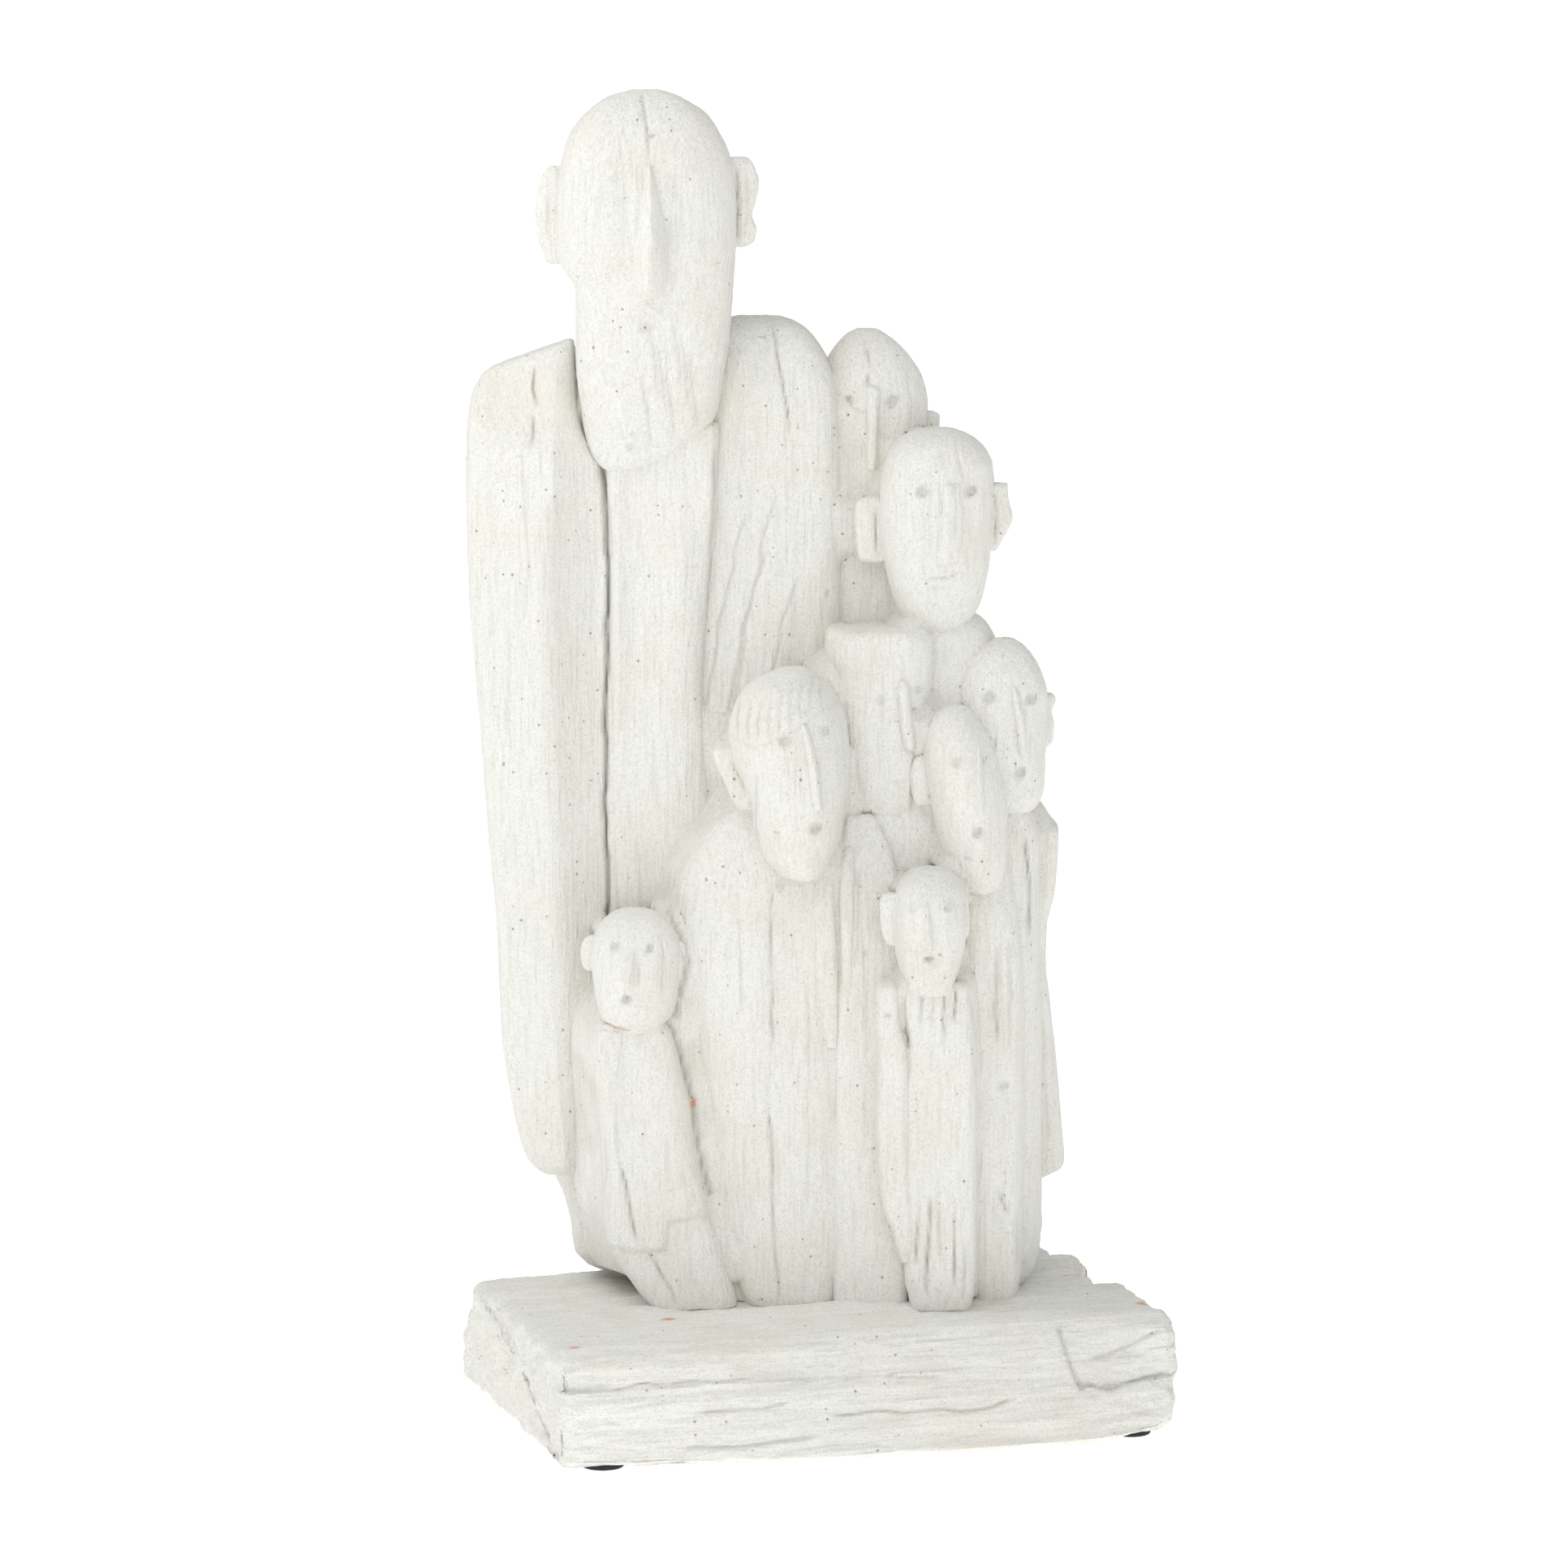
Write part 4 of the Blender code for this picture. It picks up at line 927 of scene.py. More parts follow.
far_flange = Log((
    (9.5, 62, 67.4, 24, 36),
    (14.8, 61, 68.5, 20, 40),
    (24, 60, 68.0, 18, 42),
    (30.6, 60, 68.2, 17, 43),
    (33.2, 62, 74.0, 17, 43),
    (35.5, 62, 75.2, 17, 43),
    (46.8, 63, 74.2, 16, 43.5),
    (61.8, 63, 73.0, 15, 44),
    (77.8, 62.5, 71.2, 14, 44),
    (87.7, 62.5, 70.1, 13, 43.5),
    (99.6, 62.5, 68.9, 13, 43),
    (109.5, 62.5, 69.2, 12.5, 42.5),
    (121.4, 62.5, 71.6, 12, 41.5),
    (132, 62, 72.4, 12, 39.5),
    (139.4, 62, 72.6, 12.5, 37.5),
    (142.2, 62, 70.6, 14, 35),
    (147, 62, 67.5, 16, 31),
    (149.5, 62, 65.0, 18, 28),
), squareness=3.4, fine=0.8, coarse=2.2, rim=0.8, grain=0.7, seed=32)
far_flange.cracks(
    (((42, 69), (60, 68.2), (80, 67.4)), 1.0, 0.9), (((50, 71.5), (64, 70.8), (76, 69.8)), 0.9, 0.7),
)
far_head = Log((
    (146.5, 51, 62, -2, 10),
    (149.5, 46.8, 65.2, -5.2, 12.6),
    (154, 44.0, 67.0, -7.2, 14.2),
    (163, 41.5, 67.6, -8.5, 15.5),
    (174, 40.4, 68.0, -9, 16),
    (183, 40.2, 68.2, -8.8, 15.8),
    (189.5, 41.8, 66.6, -7.6, 14.8),
    (194.5, 44.6, 63.8, -5, 12.5),
    (198, 48.2, 60.6, -1.8, 9.4),
    (200.4, 52.3, 57.2, 2, 5.5),
), squareness=2.2, fine=0.65, coarse=1.8, rim=0.6, grain=0.75, seed=33)
far_head.holes((50, 183.2, 1.9, 1.9), (62.6, 183.0, 1.8, 1.9), (59.4, 160.6, 1.8, 2.0))
far_head.hollows((60.5, 170, 3, 9, 0.7), (54, 168, 2.4, 9, 0.6))
far_nose = nose(far_head, (
    (165.6, 59.0, 61.2, 2.0),
    (170, 58.4, 61.6, 2.8),
    (177, 57.4, 60.8, 2.6),
    (184, 56.4, 59.4, 1.8),
    (187, 56.2, 58.4, 0.8),
), squareness=2.6, seed=34)
far_ear = Log((
    (166.4, 63, 67.8, 3.0, 7.0),
    (168.6, 63, 69.8, 2.6, 7.4),
    (174, 63, 70.2, 2.5, 7.5),
    (177.5, 63, 69.4, 2.5, 7.5),
    (181.4, 63, 70.6, 2.6, 7.4),
    (183.4, 64, 69.6, 3.2, 6.8),
), squareness=3.0, fine=0.55, coarse=1.4, rim=0.7, seed=35)
finish_figure(add_logs("far_right_figure", [far_body, far_flange, far_head, far_nose, far_ear]))


# THE LONG-FACED FIGURE
# In front of the right end, a long narrow head turned a little to the right.
# A thin gap curves round under its chin, between the head and the boards behind.

long_body = Log((
    (-1.0, 44, 59.5, -15, 24),
    (8, 43, 61.0, -16, 25),
    (60, 41, 61.5, -17, 22),
    (100, 40, 61, -17, 18),
    (118, 40, 59, -16, 12),
    (130, 41, 57, -13, 8),
    (142, 42, 55, -9, 4),
), squareness=3.2, fine=0.75, coarse=2.0, seed=37)
long_body.hollow(50, 92, 4, 13, 1.6)
long_body.cracks(
    (((80, 52.4), (95, 52), (110, 52.6)), 1.3, 1.3), (((78, 56.2), (96, 56.6), (112, 56)), 1.2, 1.1),
)
long_body.hole(54.6, 66.4, 1.5, 1.2)
long_body.hollows((54.8, 65, 3.2, 5, 0.8), (54, 29, 3.2, 8, 1.8))
long_body.cracks(
    (((26.6, 55.9), (31, 54.2), (34.5, 53.2)), 1.4, 1.6),
    (((10, 59.4), (20, 59.2), (28, 58.6)), 1.1, 1.0),
)
long_head = Log((
    (124.8, 44.0, 50.4, -17.6, -6),
    (126.4, 41.4, 52.4, -19.2, -3),
    (129.5, 38.6, 54.0, -20.6, -1),
    (136, 35.6, 55.4, -22.0, 1),
    (148, 33.0, 55.4, -23, 3),
    (158, 30.6, 54.0, -23, 3.5),
    (167, 29.4, 51.6, -22, 2.8),
    (172.5, 29.8, 49.4, -20.6, 1.6),
    (177, 32.0, 47.0, -18, -1),
    (180.2, 35.6, 44.4, -14.6, -4.6),
    (181.4, 38.4, 42.4, -12, -7),
), squareness=2.2, turn=6.0, fine=0.58, coarse=1.8, rim=0.5, grain=0.9, deeper=1.25, seed=38)
long_head.holes((40.2, 165.6, 1.5, 1.4, 0.7), (48.0, 166.2, 1.2, 1.2, 0.7), (46.4, 144.6, 1.7, 1.9))
long_head.hollow(47.4, 141.0, 2.4, 3.0, -0.7)
long_head.hole(43.4, 136.4, 0.7, 0.6)
long_nose = nose(long_head, (
    (149.5, 46.0, 48.2, 1.6),
    (152, 45.6, 48.6, 2.6),
    (160, 45.4, 48.2, 2.4),
    (168, 45.6, 47.6, 1.4),
    (171, 45.8, 47.2, 0.6),
), seed=39)
long_ear = Log((
    (151, 28.2, 34, -11, -7),
    (153.6, 27.0, 34, -11.4, -6.6),
    (160, 26.4, 34, -11.5, -6.5),
    (164.6, 27.4, 34, -11.2, -6.8),
    (166.4, 29.0, 33, -10.6, -7.4),
), squareness=3.0, fine=0.55, coarse=1.4, rim=0.8, seed=40)
finish_figure(add_logs("long_faced_figure", [long_body, long_head, long_nose, long_ear]))


# THE CAPPED FIGURE
# In the middle of the front row, with combed hair or a cap over its brow and one thin ear.
# A raised collar board runs down from its chin, and long drying cracks part its robe.

capped_body = Log((
    (-1.0, -25.2, 6, -20.6, 12),
    (3, -27.4, 6.3, -21.4, 13.4),
    (12, -29, 6.4, -21.8, 14),
    (40, -34, 7.0, -22, 15),
    (80, -40, 7.6, -21, 15),
    (104, -43.6, 8.2, -19.6, 13.6),
    (117, -44.4, 8.6, -18.2, 12),
    (127, -43.2, 8.8, -16.5, 10),
    (134, -40.2, 8.8, -14.8, 7.6),
    (141, -35.4, 8.4, -12.8, 4),
    (147, -30, 7, -11, 1),
    (153, -22, 4, -10, -2),
), squareness=3.3, fine=0.62, coarse=2.2, rim=0.8, deeper=1.25, skirt=True, seed=42)
capped_body.cracks(
    (((60, -16.2), (69, -16.5), (76, -16.0)), 0.8, 0.7),
    (((78, -15.4), (96.5, -14.8), (106, -15.2), (119, -15.3), (128, -15.6)), 1.1, 1.2),
    (((20, -14.6), (27, -15.0), (44.5, -15.1), (54.5, -15.7), (62, -16.4)), 1.3, 1.5),
    (((2, -13.0), (12, -13.8), (22, -14.8)), 1.2, 1.2),
    (((2, 6.0), (17, 6.0), (32, 6.3), (46, 6.1)), 2.0, 3.4),
    (((40, 6.2), (56, 6.0), (72, 6.4), (90, 5.6), (106, 4.8), (124, 4.0)), 1.2, 1.4),
    (((30, -4.6), (52, -4.4), (80, -4.2), (98, -4.6)), 0.8, 0.6),
    (((88, -24), (104, -24.6), (120, -25)), 0.7, 0.5), (((26, -23), (40, -23.6), (52, -24)), 0.8, 0.6),
)
capped_body.hollows(
    (-8.5, 104, 4.5, 22, 1.0), (-20, 92, 4.0, 28, -0.9), (-10, 22, 5, 16, -0.7),
    (-33, 112, 5, 12, -1.0),
)
capped_body.hole(-12.4, 127.6, 1.3, 1.0, 0.5)
side_board = Log((
    (-1.0, 3.0, 26.0, -20, 2),
    (8, 3.0, 26.4, -20.4, 3),
    (18, 3.0, 26.2, -20.5, 3.4),
    (30, 3.0, 24.5, -20.5, 4),
    (80, 3.6, 24.3, -19.5, 5),
    (120, 4.4, 24.0, -16.5, 4),
    (136, 5.6, 21, -13.5, 2),
    (148, 7, 15.5, -10, -1),
), squareness=6, fine=0.7, coarse=2.0, seed=43)
side_board.cracks(
    (((50, 13.0), (62, 13.2), (76, 13.3), (98, 12.8), (110, 12)), 0.8, 0.8),
    (((104, 10.8), (118, 10.6), (132, 10.4)), 1.0, 1.0),
)
side_board.hole(13.0, 107, 1.0, 0.8)
collar = nose(capped_body, (
    (78, 0.0, 4.8, 0.4),
    (86, -1.2, 5.0, 1.2),
    (102, -2.2, 4.6, 1.6),
    (118, -2.8, 3.8, 1.8),
    (127, -2.6, 3.6, 1.6),
    (132, -1.0, 4.4, 1.2),
), squareness=4.0, fine=0.55, seed=44)
collar_edge = nose(side_board, (
    (96, 5.6, 9.0, 0.4),
    (112, 5.0, 9.6, 1.4),
    (124, 4.8, 9.8, 2.0),
    (134, 5.4, 9.8, 2.0),
    (139, 6.6, 9.4, 1.2),
), squareness=3.4, fine=0.55, seed=45)
capped_head = Log((
    (130.4, -9.0, -2.6, -27, -13),
    (131.6, -12.6, 0.0, -29, -10.6),
    (133.6, -15.0, 1.8, -30.5, -8),
    (137, -17.8, 3.4, -32, -6),
    (143, -19.9, 5.4, -33.2, -4),
    (152, -21.5, 6.9, -34.5, -2),
    (158, -23.5, 7.8, -34.9, -1),
    (165, -26.8, 8.2, -35, 0),
    (173, -28.0, 7.6, -34.5, 1),
    (180, -26.6, 6.2, -33, 0.6),
    (187, -22.6, 2.4, -29.6, -2.4),
    (193.0, -13, -5.5, -21, -11),
), squareness=2.3, fine=0.55, coarse=1.8, rim=0.6, grain=0.9, deeper=1.35, seed=46)
capped_head.holes((-11, 173.4, 1.9, 1.6, 0.75), (0.8, 176.4, 1.5, 1.5, 0.75), (-2.2, 147.6, 1.9, 2.0))
capped_head.hollow(-2.6, 144.6, 3.4, 2.2, -0.5)
capped_head.hole(-13.6, 145.9, 0.7, 0.8)
capped_head.crack(((137, -17.6), (140, -19.0), (145, -19.6), (157.4, -19.8), (164, -19.9)), 0.9, 0.9)
capped_head.hollows((3.2, 163, 3.2, 14, 0.8), (-12.5, 161, 5, 7, -0.5))
capped_head.step(
    ((-27, 173.4), (-20.2, 171.4), (-13, 174.6), (-7, 177.8), (-3.4, 180.2), (0.2, 182.6), (6, 184)), 0.8
)
for stroke in range(9):
    start = -25.0 + 3.1 * stroke
    foot = float(np.interp(start, (-26.2, -20.2, -13, -7, -3.4, 3), (173, 171.6, 174.8, 178, 180.4, 183)))
    capped_head.crack(((foot + 0.6, start), (foot + 6, start - 0.4), (foot + 13, start + 0.6)), 1.0, 0.45)
capped_nose = nose(capped_head, (
    (152.6, -2.6, 0.0, 2.4),
    (156, -3.4, -0.2, 3.0),
    (164, -4.4, -1.0, 3.0),
    (172, -5.8, -2.4, 2.6),
    (178.6, -7.2, -4.6, 1.4),
), squareness=2.4, seed=48)
capped_ear = Log((
    (150.6, -25.4, -17, -17, -11),
    (153, -27.0, -17, -17.6, -10.6),
    (160, -30.0, -17, -17.8, -10.5),
    (166, -32.4, -18, -17.6, -10.6),
    (169.0, -32.6, -19, -17.0, -11),
), squareness=4.0, fine=0.5, coarse=1.4, rim=1.0, seed=49)
capped_ear.crack(((154, -22.6), (160, -24.6), (166, -27.8)), 1.0, 0.8)
finish_figure(add_logs("capped_figure", [
    capped_body, side_board, collar, collar_edge, capped_head, capped_nose, capped_ear,
]))


# THE LEFT CHILD
# The small figure at the left of the front row, a slanting slab split at its foot under a broken skirt.
# Its nose is a wedge, its mouth a hole, and salmon resin shows at its neck.

child_body = Log((
    (-1.0, -52.0, -25.3, -23.4, -8),
    (2.4, -55.2, -25.6, -24, -7),
    (9, -60.0, -27.8, -24.4, -5),
    (18, -64.6, -30.4, -24.4, -4),
    (26, -65.8, -33.4, -24.2, -2),
    (34, -65.9, -35.2, -23.8, -1),
    (44, -66.4, -37.4, -23, 0),
    (53, -67.0, -39.2, -22, 0),
    (61, -68.0, -40.0, -21.4, 0),
    (70, -68.9, -42.4, -20.8, -0.5),
    (77, -69.8, -44.0, -20.2, -1),
    (82.5, -69.0, -45.6, -19.4, -2.6),
    (86.0, -67.0, -47.5, -18.6, -4),
), squareness=5.0, fine=0.58, coarse=1.9, rim=0.8, deeper=1.7, skirt=True, seed=51)
child_body.cracks(
    (((44, -61.6), (54, -62.0), (64, -61.6)), 0.9, 0.8),
    (((20, -56.2), (23.6, -56.7), (28, -57.6), (36, -58.6), (45, -61.4)), 1.6, 1.5),
    (((33, -66.0), (38.5, -65.2), (44, -65.0), (50, -65.4)), 0.9, 0.9),
)
child_body.hollows((-59.6, 66, 3.2, 11, 1.0), (-48, 62, 5, 16, -0.8), (-52, 34, 5, 12, -0.5))
child_body.step((
    (-66, 18.5), (-58, 17.4), (-51.2, 17.2), (-47.2, 18.2), (-46.4, 26.4), (-43.1, 27.0), (-38.6, 27.9),
    (-33, 27.2),
), 0.9, soft=1.0)
child_body.crack(((0.5, -43.6), (6.3, -46.4), (12, -49.4), (17.4, -52.6)), 1.2, 1.3)
child_strip = nose(child_body, (
    (65.6, -64.0, -62.4, 0.2),
    (72, -66.2, -61.0, 1.2),
    (78, -68.2, -60.0, 1.6),
    (84.0, -67.8, -59.2, 1.2),
), squareness=5.0, seed=54)
child_head = Log((
    (82.6, -60.6, -51.4, -20, -9),
    (84.0, -63.4, -48.8, -21.8, -7),
    (86, -65.8, -46.6, -23.4, -5.2),
    (89, -67.2, -44.6, -24.8, -4),
    (94, -68.4, -43.4, -26.2, -3),
    (100, -69.3, -42.8, -27, -2.2),
    (105, -69.8, -42.6, -27, -2),
    (110.5, -69.0, -43.3, -26, -3),
    (114, -67.4, -44.8, -24.8, -4.4),
    (117.2, -64.8, -47.6, -22.6, -6.8),
    (119.4, -60.8, -51.8, -19.4, -9.8),
    (120.2, -58, -54.5, -17, -12),
), squareness=2.5, fine=0.5, coarse=1.6, rim=0.7, grain=0.8, deeper=1.4, seed=55)
child_head.holes((-62.0, 110.4, 1.5, 1.5), (-51.8, 110.0, 1.4, 1.6))
child_head.crack(((98.4, -55.6), (101, -55.2), (104, -55.2), (107, -55.6)), 1.2, 0.6)
child_head.hole(-58.6, 94.8, 1.6, 1.7)
child_head.hollow(-58.3, 92.4, 2.2, 1.2, -0.6)
child_head.crack(((92, -48.4), (100, -48.0), (108, -47.6), (114, -48.4)), 0.8, 0.5)
child_head.crease(((-65.6, 86.0), (-62, 84.9), (-57.3, 84.3)), 1.5, 0.9, blush=1.0)
child_nose = nose(child_head, (
    (98.6, -59.6, -56.0, 1.6),
    (100.6, -59.8, -55.6, 3.0),
    (104, -59.0, -55.4, 2.6),
    (108, -57.8, -55.6, 1.4),
    (110, -57.2, -55.8, 0.4),
), squareness=1.4, seed=56)
child_left_ear = Log((
    (101.4, -71.4, -66, -14.6, -11.4),
    (103.4, -72.4, -66, -15, -11),
    (107.4, -72.9, -66, -15, -11),
    (110.4, -72.0, -66, -14.8, -11.2),
    (112, -70.4, -67, -14.2, -11.8),
), squareness=2.8, fine=0.5, coarse=1.2, rim=0.7, seed=57)
child_right_ear = Log((
    (98.6, -46, -42.4, -14.6, -11.4),
    (100.4, -46, -41.2, -15, -11),
    (105, -46, -39.8, -15, -11),
    (109, -46, -40.8, -15, -11),
    (110.6, -45, -42.4, -14.4, -11.6),
), squareness=2.8, fine=0.5, coarse=1.2, rim=0.7, seed=58)
finish_figure(add_logs("left_child", [
    child_body, child_strip, child_head, child_nose, child_left_ear, child_right_ear,
]))


# THE RIGHT CHILD
# The small figure at the right of the front row, a square post with a separate board for an arm.
# Its lower end is splintered, and its mouth has a raised lip.

post = Log((
    (-1.0, 27.0, 44.8, -25.6, -8),
    (3, 26.0, 45.6, -26.4, -7),
    (8, 24.8, 46.0, -27, -6),
    (14, 24.4, 46.2, -27.4, -6),
    (32, 23.5, 46.2, -28.5, -5),
    (60, 23.2, 46.0, -29.5, -5),
    (80, 23.2, 45.4, -30, -6),
    (93, 23.4, 44.2, -30, -7),
    (98, 24.0, 43.8, -29.6, -8.6),
    (100, 25.0, 43.2, -28.4, -10),
), squareness=6, fine=0.6, coarse=1.9, rim=0.8, skirt=True, seed=60)
post.cracks(
    (((80, 25.6), (86, 24.6), (92, 24.0), (97, 23.9)), 2.2, 2.4),
    (((70, 25.6), (76, 26.0), (84, 25.4)), 1.0, 0.9), (((81, 36.2), (89, 36.3), (99, 36.1)), 1.1, 1.5),
    (((88, 39.6), (94, 39.6), (99, 39.8)), 1.3, 1.7), (((88, 29.4), (94, 29.6), (99, 29.2)), 1.0, 1.0),
    (((86, 32.8), (92, 33.0), (99, 33.2)), 0.9, 0.8), (((13, 28.0), (22, 28.2), (31, 28.9)), 1.3, 1.6),
    (((4, 31.0), (14, 31.4), (26, 32.0), (36, 32.6)), 1.4, 1.8),
    (((14, 35.8), (24, 35.0), (33, 34.6)), 1.1, 1.3), (((6, 39.8), (18, 39.6), (31, 39.4)), 1.2, 1.5),
    (((2, 42.6), (12, 42.8), (22, 42.4)), 1.0, 1.1),
)
post.hollows((35.5, 66, 4.5, 18, 0.7), (27, 46, 2.6, 22, 0.6), (34, 8, 9, 6, -0.6))
arm = Log((
    (13.6, 23.4, 27.2, -26, -9),
    (18, 22.2, 27.4, -27.4, -8),
    (25, 20.4, 27.2, -28.4, -7),
    (30, 18.2, 26.8, -28.8, -6),
    (40, 17.0, 26.2, -29.8, -5),
    (55, 15.8, 26.0, -30.6, -5),
    (70, 16.4, 26.0, -31, -5),
    (80, 16.3, 25.2, -31.6, -6),
    (90, 15.5, 22.8, -31.8, -6.4),
    (97.5, 15.8, 22.4, -31.3, -8),
    (100, 16.8, 21.8, -29.8, -10),
), squareness=5, fine=0.65, coarse=1.9, rim=0.9, grain=0.45, seed=61)
arm.hole(19.4, 90.4, 0.7, 0.8)
right_head = Log((
    (96.5, 24.4, 39.8, -32.6, -17),
    (99.9, 24.0, 40.2, -33.4, -16),
    (104, 22.6, 41.2, -34.2, -15.2),
    (108, 21.8, 42.0, -35.2, -14.8),
    (113, 21.0, 43.0, -36, -14),
    (118, 20.8, 43.5, -36.4, -13.6),
    (122.5, 20.8, 43.2, -36.2, -13.6),
    (127, 21.6, 42.6, -35, -14.6),
    (130, 23.0, 41.2, -33, -16.2),
    (132.4, 25.6, 38.8, -30.4, -18.6),
    (134.2, 28.8, 35.6, -27.4, -21.6),
), squareness=2.9, fine=0.5, coarse=1.6, rim=0.9, deeper=1.6, seed=62)
right_head.holes((26.6, 123.8, 1.4, 1.0, 0.6), (37.0, 123.8, 1.2, 1.4), (31.5, 108.4, 1.3, 1.3))
right_head.crease(((29.6, 108.6), (31.4, 108.3), (33.4, 108.9)), 1.2, 1.0)
right_head.hollows((31.4, 106.2, 2.6, 1.0, -0.6), (35.2, 117, 1.8, 6, 0.7))
right_head.crease(((25, 110.6), (28.4, 110.0), (31, 110.4)), 0.9, 0.4)
right_nose = nose(right_head, (
    (110.6, 30.2, 32.8, 1.8),
    (113, 29.8, 33.0, 2.4),
    (119, 29.8, 32.4, 2.2),
    (124, 29.8, 32.0, 1.2),
    (126, 30.2, 31.6, 0.4),
), seed=63)
right_left_ear = Log((
    (110.6, 19.8, 24, -26.4, -23.6),
    (113.4, 18.0, 24, -27, -23),
    (119, 17.0, 24, -27, -23),
    (124, 16.8, 24, -27, -23),
    (126.8, 18.0, 24, -26.6, -23.4),
), squareness=3.0, fine=0.5, coarse=1.2, rim=0.7, grain=0.5, seed=64)
right_right_ear = Log((
    (112.6, 41, 43.2, -24.4, -21.6),
    (116, 41, 44.0, -25, -21),
    (123, 41, 43.6, -25, -21),
    (127, 40, 42.4, -24.6, -21.4),
), squareness=2.8, fine=0.5, coarse=1.2, rim=0.6, grain=0.5, seed=65)
finish_figure(add_logs("right_child", [
    post, arm, right_head, right_nose, right_left_ear, right_right_ear,
]))


# THE CORE
# The solid middle of the casting, in the same resin as the figures and poured with them.
# It closes the gaps between the boards from behind, and is set deeper than their faces.

core = Log((
    (0, -56, 20, 22, 45),
    (14, -70, 14, 16, 42),
    (60, -82, 6, 14.6, 42),
    (120, -84, 4, 13.6, 42),
    (200, -84, 2, 13, 37),
    (246, -82, 0, 13, 37),
    (262, -80, -2, 13, 36),
    (272, -78, -6, 13, 33),
    (287, -76, -14, 14, 31),
), squareness=6.0, fine=1.4, coarse=2.6, seed=67)
front_core = Log((
    (0, -50, 46, -16, 14),
    (40, -50, 44, -16, 14),
    (76, -47, 42, -14.6, 12),
    (92, -34, 36, -12.6, 10),
    (120, -30, 26, -10.4, 8),
    (140, -20, 18, -7.6, 6),
), squareness=6.0, fine=1.3, coarse=2.6, seed=68)
finish_figure(add_logs("casting_core", [core, front_core]))


# THE WEB OF THE CASTING
# The resin between the figures, which were cast together and never cut apart. It fills the gaps
# to a little below their faces, slopes off beside the bodies that stand far out, and stays inside
# their outline.

# It is a sheet of square cells this many millimetres wide
WEB_CELL = 1.25
# It closes gaps up to twice this reach wide, this far below the faces beside them
GAP_REACH = 5.6
GAP_DEPTH = 2.0
# What stands nearest to the viewer is drawn in by this much, which keeps the web off its edges
WEB_SHRINK = 1.3
# Beside a body it starts this far below the body's face and slopes off over a reach
SKIRT_DEPTH = 6.0
SKIRT_SLOPE = 1.8
SKIRT_REACH = 11.0
# It falls back by this much more in each of the four cells nearest to the outline
EDGE_FALL = 3.5
# Its back is at least this far away, and this far behind its front
WEB_BACK = 16.0
WEB_THICKNESS = 4.0
# Where no log is, its face counts as this far away
NOTHING = 60.0

web_across, web_up = np.meshgrid(np.arange(-109.0, 76.0, WEB_CELL), np.arange(0.3, 293.0, WEB_CELL))


def spread(field, reach, slope=0.0):
    """The nearest to the viewer of a field within a reach, let back by a slope with the distance"""
    nearest = field.copy()
    steps = int(reach / WEB_CELL)
    padded = np.pad(field, steps, constant_values=NOTHING)
    rows, columns = field.shape
    for down in range(-steps, steps + 1):
        for sideways in range(-steps, steps + 1):
            distance = math.hypot(down, sideways) * WEB_CELL
            if distance <= reach:
                top, left = steps + down, steps + sideways
                moved = padded[top:top + rows, left:left + columns]
                nearest = np.minimum(nearest, moved + slope * distance)
    return nearest


def shrink(field, reach):
    """The furthest from the viewer of a field within a reach"""
    return NOTHING - spread(NOTHING - field, reach)


faces_of_logs = np.full(web_across.shape, NOTHING)
faces_of_bodies = faces_of_logs.copy()
for log in casting_logs:
    left, right, front, back = (side[:, None] for side in log.section(web_up[:, 0]))
    share = np.abs(web_across - (left + right) / 2) / ((right - left) / 2)
    bulge = np.clip(1 - share ** log.squareness, 0, 1) ** (1 / log.squareness)
    depth = (front + back) / 2 - bulge * (back - front) / 2
    within = (share < 1) & (web_up > log.stations[0, 0]) & (web_up < log.stations[-1, 0])
    faces_of_logs = np.where(within, np.minimum(faces_of_logs, depth), faces_of_logs)
    if log.skirt:
        faces_of_bodies = np.where(within, np.minimum(faces_of_bodies, depth), faces_of_bodies)

# Spreading and then shrinking by the same reach closes the gaps and leaves the outline in its place
filled = shrink(shrink(spread(faces_of_logs, GAP_REACH), GAP_REACH), WEB_SHRINK) + GAP_DEPTH
skirts = spread(faces_of_bodies, SKIRT_REACH, SKIRT_SLOPE) + SKIRT_DEPTH
web_front = np.minimum(filled, skirts)
web_front = (
    web_front * 2 + np.roll(web_front, 1, 0) + np.roll(web_front, -1, 0)
    + np.roll(web_front, 1, 1) + np.roll(web_front, -1, 1)
) / 6
# It falls back towards the outline of the group, so that its edge never shows there
solid = np.where(faces_of_logs < NOTHING, 0.0, NOTHING)
for ring in range(1, 5):
    web_front += EDGE_FALL * (shrink(solid, ring * WEB_CELL) > 1)
# Only cells near a place where the web shows are used, and the points inside them are inner ones
shows = (web_front < faces_of_logs - 0.2) & (faces_of_logs < NOTHING)
near_gap = spread(np.where(shows, 0.0, NOTHING), 3 * WEB_CELL) < 1
outline = shrink(solid, 2 * WEB_CELL) < 1
used = near_gap & outline
used[:, 0] = used[:, -1] = used[-1] = False
cells = used[:-1, :-1] & used[1:, :-1] & used[:-1, 1:] & used[1:, 1:]
corner_uses = np.zeros(used.shape, int)
for down in (0, 1):
    for sideways in (0, 1):
        corner_uses[down:down + cells.shape[0], sideways:sideways + cells.shape[1]] += cells
inner = corner_uses == 4
taken = corner_uses > 0
web_places = np.stack((web_across, web_front, web_up), axis=2).reshape(-1, 3)


